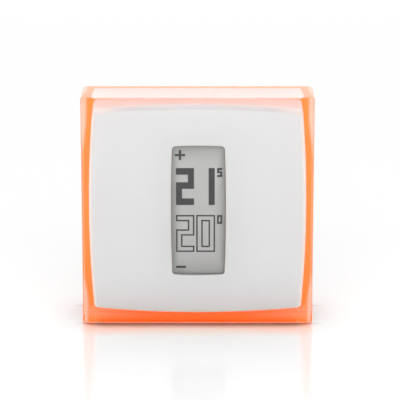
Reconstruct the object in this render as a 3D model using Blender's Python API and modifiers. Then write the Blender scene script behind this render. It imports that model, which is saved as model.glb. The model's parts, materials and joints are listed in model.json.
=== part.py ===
"""Battery room thermostat, 83 x 83 x 22 mm, on its wall plate.

A clear acrylic block holds a white, pillow-shaped front shell, and an orange sheet lies behind the
block's rim.  Block, shell and display rock a little about the middle, so that a press near the top or
the bottom edge works one of two switches on the board behind them.  Board, radio, relay and three AAA
cells sit in a tray, which is pushed onto the four split posts of a wall plate with two screw terminals.

Frame: +X right, +Y towards the wall, +Z up.  The origin is the centre of the wall plate's back face.
Sizes below are in millimetres; make_mesh turns them into metres.
"""
import math

import bmesh
import bpy
from mathutils import Matrix, Vector

MM = 0.001
GAP = 0.3  # clearance kept between pieces that touch on the real object
JOIN = 0.2  # how far shapes that are joined into one piece reach into each other
PAST = 1.0  # how far a cutter reaches past what it cuts
ROUND = 24  # segments of a round piece
SMALL_ROUND = 16  # segments of a small round piece or hole

# Clear block and the orange sheet behind its rim
BLOCK_HALF = 41.5
BLOCK_FRONT_Y = -22.0
BLOCK_BACK_Y = -1.6
BLOCK_EDGE = 0.35
SHEET_HALF = 41.2
SHEET_THICKNESS = 0.4
SHEET_BACK_Y = -0.9

# White front shell: a pillow with bowed sides, whose top and bottom run straighter towards the back
SHELL_HALF_X = 39.0
SHELL_HALF_Z = 38.5
SHELL_BOW_X = 1.6
SHELL_BOW_Z = 1.85
SHELL_BACK_BOW_Z = 0.3
SHELL_CORNER = 1.5
SHELL_CROWN_Y = -19.4
SHELL_DROP = 0.35
SHELL_EDGE = 1.3
SHELL_WALL = 1.3
DOME_STEPS = (0.35, 0.6, 0.8, 1.0)

# Display window, panel, its frame and its flex tail
WINDOW_X = 0.3
WINDOW_Z = -0.25
WINDOW_HALF_X = 9.87
WINDOW_HALF_Z = 23.9
WINDOW_BOW_X = 0.45
WINDOW_BOW_Z = 0.3
WINDOW_CORNER = 1.4
PANEL_HALF_X = 11.5
PANEL_HALF_Z = 26.0
PANEL_FRONT_Y = -17.6
PANEL_THICKNESS = 0.75
FRAME_WALL = 1.5
FRAME_FLOOR = 0.5
FRAME_BACK_Y = -16.1
FRAME_OPENING_X = 8.0
FRAME_OPENING_Z = 20.0
STAKE_X = 14.8
STAKE_Z = 21.0
STAKE_RADIUS = 0.7
STAKE_EAR_RADIUS = 2.0
STAKE_EAR_LOW = 1.2
STAKE_EAR_HIGH = 0.4
FLEX_HALF_Z = 5.0
FLEX_THICKNESS = 0.15
FLEX_START_X = 10.0
FLEX_BEND_X = 13.2
FLEX_SLACK = 0.6
FLEX_OFF_PANEL = 0.2
CONNECTOR_X = 16.8
CONNECTOR_DEPTH = 3.6
CONNECTOR_HALF_Y = 0.55
CONNECTOR_END = 1.5

# Rocking axis and its two pins
PIVOT_Y = -9.0
PIN_RADIUS = 1.0
PIN_INNER_X = 31.0
PIN_OUTER_X = 36.9
EAR_INNER_X = 34.6
EAR_HALF_Y = 3.0
EAR_HALF_Z = 3.5
PIVOT_BOSS_HALF = 2.4
PIVOT_BOSS_PAST_PIN = 1.4

# Main board and its screws
BOARD_HALF_X = 31.5
BOARD_HALF_Z = 33.5
BOARD_CORNER = 2.0
BOARD_FRONT_Y = -15.2
BOARD_BACK_Y = -14.3
SCREW_X = 28.2
SCREW_Z = 30.5
SCREW_HEAD_RADIUS = 1.8
SCREW_HEAD = 0.8
SCREW_SHANK_RADIUS = 0.9
SCREW_LENGTH = 6.0
SCREW_SLOT = 0.5

# Parts on the board: low x, high x, low z, high z and height
PROCESSOR = (-3.0, 4.0, 20.0, 27.0, 0.9)
RADIO_CHIP = (0.5, 5.5, 8.0, 13.0, 0.9)
RADIO_CAN = (-4.0, 10.0, 5.0, 16.0, 2.2)
RADIO_CAN_SHEET = 0.25
RELAY = (8.0, 23.0, 18.5, 26.5, 8.0)
RELAY_EDGE = 0.4
SENSOR = (-21.0, -19.0, -31.5, -30.5, 0.8)
CAPACITOR_X = 19.0
CAPACITOR_Z = 10.5
CAPACITOR_RADIUS = 3.15
CAPACITOR_HEIGHT = 7.5
CAPACITOR_GROOVE = 0.25
CAPACITOR_GROOVE_HEIGHT = 1.1
CRYSTAL_X = -2.5
CRYSTAL_Z = 18.2
CRYSTAL_RADIUS = 1.0
CRYSTAL_LENGTH = 6.0
CRYSTAL_EDGE = 0.2
AERIAL_LOW_X = -24.0
AERIAL_HIGH_X = -8.5
AERIAL_Z = (24.6, 27.0)
AERIAL_HEIGHT = 3.0
AERIAL_THICKNESS = 0.3

# Switches: the lower and the upper one stand at -SWITCH_Z and +SWITCH_Z
SWITCH_Z = 31.0
SWITCH_HALF = 2.2
SWITCH_HEIGHT = 1.4
PLUNGER_RADIUS = 1.0
PLUNGER_TIP_Y = -17.4
PLUNGER_LENGTH = 0.9
PAD_RADIUS = 1.6
PAD_GAP = 0.1

# Tray
TRAY_HALF = 34.0
TRAY_CORNER = 3.0
TRAY_WALL = 1.5
TRAY_FRONT_Y = -14.0
TRAY_FLOOR = 0.7
TRAY_BACK_Y = -2.5
BOSS_RADIUS = 2.3
BOSS_BACK_Y = -8.5
POST_X = 30.2
POST_Z = 18.0
POST_RADIUS = 1.5
SOCKET_RADIUS = 2.7
SOCKET_BACK_Y = -3.5
SOCKET_DEPTH = 6.3
TRAY_WINDOW_HALF_X = 26.0
TRAY_WINDOW_Z = (4.0, 28.0)

# Battery bay: three AAA cells, one above the other
CELL_RADIUS = 5.25
CELL_LENGTH = 44.5
CELL_Y = -7.75
CELL_PITCH = 11.2
LOWEST_CELL_Z = -26.6
BAY_HALF_X = 25.0
BAY_WALL = 1.2
BAY_TOP_Z = 1.6
BAY_BACK_Y = -3.2
BAY_CRADLE_HALF_X = 20.0
BAY_CRADLE_HALF_Z = 0.5
BAY_CRADLE_HEIGHT = 2.1
CONTACT_THICKNESS = 0.4
CONTACT_HALF = 4.7
TAB_OFF_AXIS = 2.5
TAB_HALF = 1.0
TAB_SLOT_PLAY = 0.3
SPRING_WIRE = 0.3
SPRING_TURNS = 2.5
SPRING_NARROW_RADIUS = 1.8
SPRING_WIDE_RADIUS = 3.6
POINTS_PER_TURN = 12
CELL_TIP_RADIUS = 1.9
CELL_TIP = 0.8
CELL_EDGE = 0.4

# Wall plate
PLATE_THICKNESS = 2.2
PLATE_CLEARANCE = 0.9
PLATE_CORNER = 3.0
SLOT_SPACING = 60.0
SLOT_WIDTH = 4.2
SLOT_LENGTH = 9.0
SLOT_SINK = 1.2
CABLE_HALF_X = 6.2
CABLE_HALF_Z = 3.4
CABLE_CORNER = 1.5
CABLE_Z = 8.0
POST_SLIT_HALF = 0.3
POST_LENGTH = 5.5

# Screw terminals of the wall plate
TERMINAL_X = -14.0
TERMINAL_PITCH = 6.2
TERMINAL_LOW_Z = 13.0
TERMINAL_HIGH_Z = 22.0
TERMINAL_FRONT_Y = -11.4
TERMINAL_SCREW_Z = 17.5
TERMINAL_HOLE_RADIUS = 1.9
TERMINAL_HEAD_SINK = 1.3
TERMINAL_HEAD_RADIUS = 1.6
TERMINAL_HEAD = 1.0
TERMINAL_SHANK_RADIUS = 1.1
TERMINAL_SCREW_LENGTH = 3.8
TERMINAL_SCREW_SLOT = 0.6
TERMINAL_CELL_DEPTH = 1.8
TERMINAL_CELL_TOP_Z = 20.0
CAGE_HALF_X = 2.0
CAGE_WALL = 0.7
CAGE_FRONT_Y = -7.9
CAGE_BACK_Y = -3.7
CAGE_Z = (14.5, 19.6)
LEAF_HALF_X = 1.1
LEAF_THICKNESS = 0.25
LEAF_FOOT_Z = 21.6
LEAF_BEND_Z = 20.3
LEAF_TIP_Z = 21.4
LEAF_BULGE = 1.1


# ---------------------------------------------------------------- scene helpers


def empty_scene():
    """Remove what the file already holds."""
    for item in list(bpy.data.objects):
        bpy.data.objects.remove(item, do_unlink=True)


def new_collection(name):
    """Add a collection to the scene."""
    collection = bpy.data.collections.new(name)
    bpy.context.scene.collection.children.link(collection)
    return collection


def make_material(name, colour, roughness, metallic=0.0, transmission=0.0):
    """One Principled material."""
    material = bpy.data.materials.new(name)
    material.use_nodes = True
    shader = material.node_tree.nodes["Principled BSDF"]
    shader.inputs["Base Color"].default_value = (*colour, 1.0)
    shader.inputs["Roughness"].default_value = roughness
    shader.inputs["Metallic"].default_value = metallic
    shader.inputs["Transmission Weight"].default_value = transmission
    return material


def add_pivot(name, point, parent=None):
    """An empty on a joint's axis, which carries the pieces of one moving body."""
    pivot = bpy.data.objects.new(name, None)
    PARTS.objects.link(pivot)
    pivot.location = Vector(point) * MM
    pivot.empty_display_size = 5 * MM
    if parent:
        pivot.parent = parent
        pivot.matrix_parent_inverse = Matrix.Translation(-origin_of(parent))
    return pivot


def origin_of(pivot):
    """Where an empty is in the part's frame: its location, because it keeps its parent's inverse."""
    return Vector(pivot.location)


def make_mesh(name, bm):
    """Turn a bmesh in millimetres into a mesh in metres."""
    bmesh.ops.scale(bm, vec=(MM, MM, MM), verts=bm.verts)
    mesh = bpy.data.meshes.new(name)
    bm.to_mesh(mesh)
    bm.free()
    return mesh


def smooth(mesh):
    """Smooth shading with the sharp edges kept."""
    mesh.shade_smooth()
    mesh.set_sharp_from_angle(angle=math.radians(35))


def add_object(name, mesh, material, pivot):
    """A named piece of the thermostat that moves with an empty."""
    piece = bpy.data.objects.new(name, mesh)
    PARTS.objects.link(piece)
    if not mesh.materials:
        mesh.materials.append(material)
    piece.parent = pivot
    piece.matrix_parent_inverse = Matrix.Translation(-origin_of(pivot))
    return piece


def add_piece(name, bm, material, pivot, round_piece=False):
    """A piece straight from a closed bmesh."""
    bmesh.ops.recalc_face_normals(bm, faces=bm.faces)
    mesh = make_mesh(name, bm)
    if round_piece:
        smooth(mesh)
    return add_object(name, mesh, material, pivot)


def add_tool(name, bm):
    """A closed shape that only cuts or extends a piece."""
    bmesh.ops.recalc_face_normals(bm, faces=bm.faces)
    tool = bpy.data.objects.new(name, make_mesh(name, bm))
    TOOLS.objects.link(tool)
    tool.hide_render = True
    tool.display_type = "WIRE"
    return tool


def combine(piece, tool, operation):
    """Cut (DIFFERENCE) or extend (UNION) a piece with a tool."""
    modifier = piece.modifiers.new(tool.name, "BOOLEAN")
    modifier.operation = operation
    modifier.solver = "EXACT"
    modifier.object = tool


# ---------------------------------------------------------------- outlines, as (x, z) points


def rounded_rectangle(half_x, half_z, radius, centre=(0.0, 0.0), steps=4):
    """A rectangle with round corners, counter-clockwise seen from the front."""
    points = []
    for quarter in range(4):
        sign_x = 1 if quarter in (0, 3) else -1
        sign_z = 1 if quarter in (0, 1) else -1
        corner_x = centre[0] + sign_x * (half_x - radius)
        corner_z = centre[1] + sign_z * (half_z - radius)
        for step in range(steps + 1):
            angle = math.pi / 2 * (quarter + step / steps)
            points.append((corner_x + radius * math.cos(angle), corner_z + radius * math.sin(angle)))
    return points


def pillow_outline(half_x, half_z, bow_x, bow_z, corner, side_steps=5, corner_steps=4):
    """A rectangle whose four sides bow outwards and whose corners are tight curves."""
    corner_x = half_x - bow_x
    corner_z = half_z - bow_z

    def on_right(z):
        return Vector((half_x - bow_x * (z / corner_z) ** 2, z))

    def on_top(x):
        return Vector((x, half_z - bow_z * (x / corner_x) ** 2))

    quarter = [on_right((corner_z - corner) * step / side_steps) for step in range(side_steps)]
    start = on_right(corner_z - corner)
    end = on_top(corner_x - corner)
    tip = Vector((corner_x, corner_z))
    for step in range(corner_steps + 1):
        t = step / corner_steps
        quarter.append(start * (1 - t) ** 2 + tip * 2 * t * (1 - t) + end * t ** 2)
    quarter += [on_top((corner_x - corner) * (1 - step / side_steps)) for step in range(1, side_steps)]

    top_left = [(-point.x, point.y) for point in reversed(quarter[1:])]
    top_half = [(point.x, point.y) for point in quarter] + [(0.0, half_z)] + top_left + [(-half_x, 0.0)]
    bottom_half = [(-x, -z) for x, z in top_half[1:-1]]
    return top_half + bottom_half


def shell_outline(grow=0.0, bow_z=SHELL_BOW_Z):
    """The front shell's outline, grown outwards."""
    return pillow_outline(SHELL_HALF_X + grow, SHELL_HALF_Z + grow, SHELL_BOW_X, bow_z, SHELL_CORNER + grow)


# ---------------------------------------------------------------- solids, added to a bmesh


def add_box(bm, low, high):
    """A box between two corners."""
    size = Vector(high) - Vector(low)
    centre = (Vector(high) + Vector(low)) / 2
    bmesh.ops.create_cube(bm, size=1.0, matrix=Matrix.Translation(centre) @ Matrix.Diagonal((*size, 1.0)))


def add_cylinder(bm, start, end, radius, end_radius=None, segments=ROUND):
    """A cylinder or cone between two points."""
    along = Vector(end) - Vector(start)
    turn = along.to_track_quat("Z", "Y").to_matrix().to_4x4()
    bmesh.ops.create_cone(
        bm,
        cap_ends=True,
        segments=segments,
        radius1=radius,
        radius2=radius if end_radius is None else end_radius,
        depth=along.length,
        matrix=Matrix.Translation((Vector(start) + Vector(end)) / 2) @ turn,
    )


def add_loft(bm, sections, close_start=True, close_end=True):
    """A skin through closed sections of equal point count."""
    rings = [[bm.verts.new(point) for point in section] for section in sections]
    count = len(rings[0])
    for near, far in zip(rings, rings[1:]):
        for index in range(count):
            following = (index + 1) % count
            bm.faces.new((near[following], near[index], far[index], far[following]))
    if close_start:
        bm.faces.new(rings[0])
    if close_end:
        bm.faces.new(reversed(rings[-1]))


def add_prism(bm, outline, low_y, high_y):
    """An (x, z) outline with a thickness along Y."""
    add_loft(bm, [[(x, y, z) for x, z in outline] for y in (low_y, high_y)])


def pillow_sections(grow, crown_y, back_y):
    """Sections of the pillow from its crown, over the round edge, to its back."""
    outline = shell_outline(grow)
    edge = SHELL_EDGE + grow
    edge_y = crown_y + SHELL_DROP
    inset_scale = 1 - edge / (SHELL_HALF_X + grow)
    sections = []
    for step in DOME_STEPS:
        y = crown_y + SHELL_DROP * step ** 2
        sections.append([(x * step * inset_scale, y, z * step * inset_scale) for x, z in outline])
    for quarter_turn in (30, 60, 90):
        angle = math.radians(quarter_turn)
        scale = 1 - edge * (1 - math.sin(angle)) / (SHELL_HALF_X + grow)
        y = edge_y + edge * (1 - math.cos(angle))
        sections.append([(x * scale, y, z * scale) for x, z in outline])
    sections.append([(x, back_y, z) for x, z in shell_outline(grow, SHELL_BACK_BOW_Z)])
    return sections


def box_tool(name, *boxes):
    """One tool made of separate boxes."""
    bm = bmesh.new()
    for low, high in boxes:
        add_box(bm, low, high)
    return add_tool(name, bm)


def cylinder_tool(name, cylinders, segments=ROUND):
    """One tool made of separate cylinders."""
    bm = bmesh.new()
    for start, end, radius in cylinders:
        add_cylinder(bm, start, end, radius, segments=segments)
    return add_tool(name, bm)


def prism_tool(name, prisms):
    """One tool made of separate prisms."""
    bm = bmesh.new()
    for outline, low_y, high_y in prisms:
        add_prism(bm, outline, low_y, high_y)
    return add_tool(name, bm)


def sided_box(side, near_x, far_x, low_y, high_y, low_z, high_z):
    """Corners of a box between two distances from the middle, on the left (side -1) or the right (1)."""
    low_x, high_x = sorted((side * near_x, side * far_x))
    return (low_x, low_y, low_z), (high_x, high_y, high_z)


def box_piece(name, low, high, material, pivot, bevel=0.0):
    """A plain block-shaped piece, with its edges broken where bevel is given."""
    bm = bmesh.new()
    add_box(bm, low, high)
    piece = add_piece(name, bm, material, pivot)
    if bevel:
        modifier = piece.modifiers.new("edges", "BEVEL")
        modifier.width = bevel * MM
        modifier.segments = 1
    return piece


def turned_piece(name, profile, start, direction, material, pivot, steps=ROUND):
    """A profile of (radius, height) points, from the top of the axis down, turned about an axis."""
    bm = bmesh.new()
    verts = [bm.verts.new((radius, 0.0, height)) for radius, height in profile]
    for first, second in zip(verts, verts[1:]):
        bm.edges.new((first, second))
    turn = Vector(direction).to_track_quat("Z", "Y").to_matrix().to_4x4()
    piece = add_object(name, make_mesh(name, bm), material, pivot)
    piece.matrix_local = Matrix.Translation(Vector(start) * MM) @ turn
    modifier = piece.modifiers.new("turn", "SCREW")
    modifier.steps = steps
    modifier.render_steps = steps
    modifier.use_merge_vertices = True
    modifier.merge_threshold = 0.00001
    modifier.use_smooth_shade = True
    return piece


def strip_piece(name, path, width_axis, width_span, thickness, material, pivot):
    """A thin strip bent along a path in one plane, wide along the axis across that plane."""
    bm = bmesh.new()
    edges = []
    for across in width_span:
        edges.append([bm.verts.new(strip_point(point, width_axis, across)) for point in path])
    for index in range(len(path) - 1):
        near, far = edges
        bm.faces.new((near[index], near[index + 1], far[index + 1], far[index]))
    piece = add_object(name, make_mesh(name, bm), material, pivot)
    modifier = piece.modifiers.new("thickness", "SOLIDIFY")
    modifier.thickness = thickness * MM
    modifier.offset = 0.0
    modifier.use_even_offset = True
    return piece


def strip_point(point, width_axis, across):
    """A path point at one edge of the strip: an XY path is wide along Z, a YZ path along X."""
    if width_axis == "Z":
        return (point[0], point[1], across)
    return (across, point[0], point[1])


# ---------------------------------------------------------------- front: block, sheet, shell, display


def make_clear_block(pivot, acrylic):
    """The clear block, with the pocket that the white shell fills."""
    low = (-BLOCK_HALF, BLOCK_FRONT_Y, -BLOCK_HALF)
    high = (BLOCK_HALF, BLOCK_BACK_Y, BLOCK_HALF)
    block = box_piece("clear_block", low, high, acrylic, pivot, bevel=BLOCK_EDGE)
    bm = bmesh.new()
    add_loft(bm, pillow_sections(GAP, SHELL_CROWN_Y - GAP, BLOCK_BACK_Y + PAST))
    combine(block, add_tool("block_pocket", bm), "DIFFERENCE")


def make_colour_sheet(pivot, orange):
    """The orange sheet behind the block's rim."""
    front_y = SHEET_BACK_Y - SHEET_THICKNESS
    bm = bmesh.new()
    add_box(bm, (-SHEET_HALF, front_y, -SHEET_HALF), (SHEET_HALF, SHEET_BACK_Y, SHEET_HALF))
    sheet = add_piece("colour_sheet", bm, orange, pivot)
    outline = shell_outline(GAP, SHELL_BACK_BOW_Z)
    opening = prism_tool("sheet_opening", [(outline, front_y - PAST, SHEET_BACK_Y + PAST)])
    combine(sheet, opening, "DIFFERENCE")


def make_front_shell(pivot, white):
    """The white shell with its window, pivot ears, switch pads and heat stakes."""
    bm = bmesh.new()
    add_loft(bm, pillow_sections(0.0, SHELL_CROWN_Y, BLOCK_BACK_Y), close_end=False)
    shell = add_object("front_shell", make_mesh("front_shell", bm), white, pivot)
    smooth(shell.data)
    modifier = shell.modifiers.new("wall", "SOLIDIFY")
    modifier.thickness = SHELL_WALL * MM
    modifier.offset = -1.0
    modifier.use_even_offset = True

    ear_outer_x = SHELL_HALF_X - SHELL_WALL / 2
    low_y = PIVOT_Y - EAR_HALF_Y
    high_y = PIVOT_Y + EAR_HALF_Y
    ears = [sided_box(side, EAR_INNER_X, ear_outer_x, low_y, high_y, -EAR_HALF_Z, EAR_HALF_Z)
            for side in (-1, 1)]
    combine(shell, box_tool("pivot_ears", *ears), "UNION")

    inside_y = SHELL_CROWN_Y + SHELL_WALL - JOIN
    pad_face_y = PLUNGER_TIP_Y - PAD_GAP
    pads = [((0, inside_y - JOIN, side * SWITCH_Z), (0, pad_face_y, side * SWITCH_Z), PAD_RADIUS)
            for side in (-1, 1)]
    stake_end_y = FRAME_BACK_Y - JOIN
    stakes = [((x, inside_y, z), (x, stake_end_y, z), STAKE_RADIUS) for x, z in four_places(STAKE_X, STAKE_Z)]
    combine(shell, cylinder_tool("pads_and_stakes", pads + stakes, SMALL_ROUND), "UNION")

    centred = pillow_outline(WINDOW_HALF_X, WINDOW_HALF_Z, WINDOW_BOW_X, WINDOW_BOW_Z, WINDOW_CORNER)
    window = [(WINDOW_X + x, WINDOW_Z + z) for x, z in centred]
    combine(shell, prism_tool("display_window", [(window, BLOCK_FRONT_Y, PANEL_FRONT_Y)]), "DIFFERENCE")
    bores = []
    for side in (-1, 1):
        start = (side * (EAR_INNER_X - PAST), PIVOT_Y, 0)
        bores.append((start, (side * (PIN_OUTER_X + GAP), PIVOT_Y, 0), PIN_RADIUS + GAP))
    combine(shell, cylinder_tool("ear_bores", bores, SMALL_ROUND), "DIFFERENCE")


def four_places(x, z):
    """The four corners of a rectangle about the middle."""
    return [(side_x * x, side_z * z) for side_z in (1, -1) for side_x in (-1, 1)]


def make_display(pivot, glass_grey, black, amber):
    """The display panel, the frame that holds it and its flex tail."""
    back_y = PANEL_FRONT_Y + PANEL_THICKNESS
    low = (-PANEL_HALF_X, PANEL_FRONT_Y, -PANEL_HALF_Z)
    high = (PANEL_HALF_X, back_y, PANEL_HALF_Z)
    box_piece("display_panel", low, high, glass_grey, pivot)

    pocket_x = PANEL_HALF_X + GAP
    pocket_z = PANEL_HALF_Z + GAP
    bm = bmesh.new()
    outline = rounded_rectangle(pocket_x + FRAME_WALL, pocket_z + FRAME_WALL, FRAME_WALL)
    add_prism(bm, outline, PANEL_FRONT_Y, FRAME_BACK_Y)
    frame = add_piece("display_frame", bm, black, pivot)
    low_y = FRAME_BACK_Y - STAKE_EAR_LOW
    high_y = FRAME_BACK_Y - STAKE_EAR_HIGH
    ears = [((x, low_y, z), (x, high_y, z), STAKE_EAR_RADIUS) for x, z in four_places(STAKE_X, STAKE_Z)]
    combine(frame, cylinder_tool("frame_ears", ears, SMALL_ROUND), "UNION")
    floor_y = FRAME_BACK_Y - FRAME_FLOOR
    pocket = ((-pocket_x, PANEL_FRONT_Y - PAST, -pocket_z), (pocket_x, floor_y, pocket_z))
    combine(frame, box_tool("panel_pocket", pocket), "DIFFERENCE")
    middle = ((-FRAME_OPENING_X, floor_y - PAST, -FRAME_OPENING_Z),
              (FRAME_OPENING_X, FRAME_BACK_Y + PAST, FRAME_OPENING_Z))
    tail_half_z = FLEX_HALF_Z + FLEX_SLACK
    tail = ((FLEX_START_X - GAP, back_y, -tail_half_z),
            (pocket_x + FRAME_WALL + PAST, FRAME_BACK_Y + PAST, tail_half_z))
    combine(frame, box_tool("frame_openings", middle, tail), "DIFFERENCE")
    holes = [((x, PANEL_FRONT_Y, z), (x, FRAME_BACK_Y + PAST, z), STAKE_RADIUS + GAP)
             for x, z in four_places(STAKE_X, STAKE_Z)]
    combine(frame, cylinder_tool("stake_holes", holes, SMALL_ROUND), "DIFFERENCE")

    tail_y = back_y + FLEX_OFF_PANEL
    plug_y = connector_mid_y()
    path = [
        (FLEX_START_X, tail_y),
        (FLEX_BEND_X, tail_y),
        (FLEX_BEND_X + 1.0, tail_y + 0.12),
        (CONNECTOR_X - 1.2, plug_y - 0.1),
        (CONNECTOR_X - 0.4, plug_y),
        (CONNECTOR_X + CONNECTOR_DEPTH / 2, plug_y),
    ]
    strip_piece("display_flex", path, "Z", (-FLEX_HALF_Z, FLEX_HALF_Z), FLEX_THICKNESS, amber, pivot)


def connector_mid_y():
    """Height of the flex connector's slot."""
    return BOARD_FRONT_Y - GAP - CONNECTOR_HALF_Y


# ---------------------------------------------------------------- tray, board and what is on it


def make_tray(pivot, light_grey):
    """The tray: battery bay at the bottom, room for the terminals and tall parts at the top."""
    bm = bmesh.new()
    add_prism(bm, rounded_rectangle(TRAY_HALF, TRAY_HALF, TRAY_CORNER), TRAY_FRONT_Y, TRAY_BACK_Y)
    tray = add_piece("base_tray", bm, light_grey, pivot)
    inner_half = TRAY_HALF - TRAY_WALL
    floor_y = TRAY_FRONT_Y + TRAY_FLOOR
    inside = rounded_rectangle(inner_half, inner_half, TRAY_CORNER - TRAY_WALL)
    combine(tray, prism_tool("tray_inside", [(inside, floor_y, TRAY_BACK_Y + PAST)]), "DIFFERENCE")

    in_floor_y = floor_y - TRAY_FLOOR / 2
    outer_x = BAY_HALF_X + BAY_WALL
    bottom_z = -inner_half - TRAY_WALL / 2
    bay_wall = [
        (-outer_x, bottom_z),
        (-BAY_HALF_X, bottom_z),
        (-BAY_HALF_X, BAY_TOP_Z),
        (BAY_HALF_X, BAY_TOP_Z),
        (BAY_HALF_X, bottom_z),
        (outer_x, bottom_z),
        (outer_x, BAY_TOP_Z + BAY_WALL),
        (-outer_x, BAY_TOP_Z + BAY_WALL),
    ]
    combine(tray, prism_tool("bay_wall", [(bay_wall, in_floor_y, BAY_BACK_Y)]), "UNION")
    cradles = []
    for between in (0.5, 1.5):
        z = LOWEST_CELL_Z + between * CELL_PITCH
        cradles.append(((-BAY_CRADLE_HALF_X, in_floor_y, z - BAY_CRADLE_HALF_Z),
                        (BAY_CRADLE_HALF_X, floor_y + BAY_CRADLE_HEIGHT, z + BAY_CRADLE_HALF_Z)))
    combine(tray, box_tool("cell_cradles", *cradles), "UNION")

    bosses = [((x, in_floor_y, z), (x, BOSS_BACK_Y, z), BOSS_RADIUS)
              for x, z in four_places(SCREW_X, SCREW_Z)]
    sockets = [((x, in_floor_y, z), (x, SOCKET_BACK_Y, z), SOCKET_RADIUS)
               for x, z in four_places(POST_X, POST_Z)]
    combine(tray, cylinder_tool("bosses_and_sockets", bosses + sockets), "UNION")
    half = PIVOT_BOSS_HALF
    boss_inner_x = PIN_INNER_X - PIVOT_BOSS_PAST_PIN
    boss_outer_x = inner_half + TRAY_WALL / 2
    pivot_bosses = [
        sided_box(side, boss_inner_x, boss_outer_x, PIVOT_Y - half, PIVOT_Y + half, -half, half)
        for side in (-1, 1)
    ]
    combine(tray, box_tool("pivot_bosses", *pivot_bosses), "UNION")

    cut_y = TRAY_FRONT_Y - PAST
    window = ((-TRAY_WINDOW_HALF_X, cut_y, TRAY_WINDOW_Z[0]),
              (TRAY_WINDOW_HALF_X, floor_y + JOIN, TRAY_WINDOW_Z[1]))
    slots = []
    for side, tab_z in ((-1, low_tab_z()), (1, high_tab_z())):
        slot_x = BAY_HALF_X - GAP - CONTACT_THICKNESS - TAB_SLOT_PLAY / 2
        slot_half = TAB_HALF + TAB_SLOT_PLAY
        slots.append(sided_box(side, slot_x, BAY_HALF_X - TAB_SLOT_PLAY / 2, cut_y, floor_y + JOIN,
                               tab_z - slot_half, tab_z + slot_half))
    combine(tray, box_tool("tray_openings", window, *slots), "DIFFERENCE")
    hole_radius = SCREW_SHANK_RADIUS + GAP
    holes = [((x, cut_y, z), (x, BOSS_BACK_Y - 2 * GAP, z), hole_radius)
             for x, z in four_places(SCREW_X, SCREW_Z)]
    bores = [((x, SOCKET_BACK_Y - SOCKET_DEPTH, z), (x, SOCKET_BACK_Y + PAST, z), POST_RADIUS + GAP)
             for x, z in four_places(POST_X, POST_Z)]
    pin_bores = []
    for side in (-1, 1):
        start = (side * (PIN_INNER_X - GAP), PIVOT_Y, 0)
        pin_bores.append((start, (side * (TRAY_HALF + PAST), PIVOT_Y, 0), PIN_RADIUS + GAP))
    combine(tray, cylinder_tool("tray_holes", holes + bores + pin_bores, SMALL_ROUND), "DIFFERENCE")


def cell_z(index):
    """Height of a cell's axis, the lowest first."""
    return LOWEST_CELL_Z + index * CELL_PITCH


def low_tab_z():
    """Height of the negative contact's tab."""
    return cell_z(0) - TAB_OFF_AXIS


def high_tab_z():
    """Height of the positive contact's tab."""
    return cell_z(2) + TAB_OFF_AXIS


def make_pivot_pins(pivot, steel):
    """The two pins that the front rocks on."""
    for name, side in (("pivot_pin_left", -1), ("pivot_pin_right", 1)):
        bm = bmesh.new()
        start = (side * PIN_INNER_X, PIVOT_Y, 0.0)
        add_cylinder(bm, start, (side * PIN_OUTER_X, PIVOT_Y, 0.0), PIN_RADIUS, segments=SMALL_ROUND)
        add_piece(name, bm, steel, pivot, round_piece=True)


def make_board(pivot, green):
    """The main board with its four screw holes."""
    bm = bmesh.new()
    add_prism(bm, rounded_rectangle(BOARD_HALF_X, BOARD_HALF_Z, BOARD_CORNER), BOARD_FRONT_Y, BOARD_BACK_Y)
    board = add_piece("main_board", bm, green, pivot)
    holes = [((x, BOARD_FRONT_Y - PAST, z), (x, BOARD_BACK_Y + PAST, z), SCREW_SHANK_RADIUS + GAP)
             for x, z in four_places(SCREW_X, SCREW_Z)]
    combine(board, cylinder_tool("board_holes", holes, SMALL_ROUND), "DIFFERENCE")


def screw_mesh(name, head_radius, head, shank_radius, length, slot_width):
    """A slotted pan-head screw along +Y, its head's underside at the origin, as one mesh in metres."""
    profile = [
        (0.0, head),
        (head_radius * 0.75, head),
        (head_radius, head * 0.6),
        (head_radius, 0.0),
        (shank_radius, 0.0),
        (shank_radius, -length + shank_radius),
        (shank_radius * 0.4, -length),
        (0.0, -length),
    ]
    screw = turned_piece(name, profile, (0, 0, 0), (0, -1, 0), None, PIVOTS["wall_plate"], SMALL_ROUND)
    slot = box_tool(name + "_slot", ((-head_radius - PAST, -head - PAST, -slot_width / 2),
                                     (head_radius + PAST, -head / 2, slot_width / 2)))
    combine(screw, slot, "DIFFERENCE")
    bpy.context.view_layer.update()
    evaluated = screw.evaluated_get(bpy.context.evaluated_depsgraph_get())
    mesh = bpy.data.meshes.new_from_object(evaluated)
    mesh.transform(screw.matrix_world)
    bpy.data.objects.remove(screw)
    bpy.data.objects.remove(slot)
    return mesh


def place_screw(name, mesh, point, material, pivot):
    """One screw of a set that shares its mesh."""
    screw = add_object(name, mesh, material, pivot)
    screw.location = Vector(point) * MM
    return screw


def make_board_screws(pivot, steel):
    """Four screws that hold the board on the tray."""
    mesh = screw_mesh("board_screw", SCREW_HEAD_RADIUS, SCREW_HEAD, SCREW_SHANK_RADIUS, SCREW_LENGTH,
                      SCREW_SLOT)
    mesh.materials.clear()
    for number, (x, z) in enumerate(four_places(SCREW_X, SCREW_Z), start=1):
        place_screw(f"board_screw_{number}", mesh, (x, BOARD_FRONT_Y - GAP, z), steel, pivot)


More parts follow.
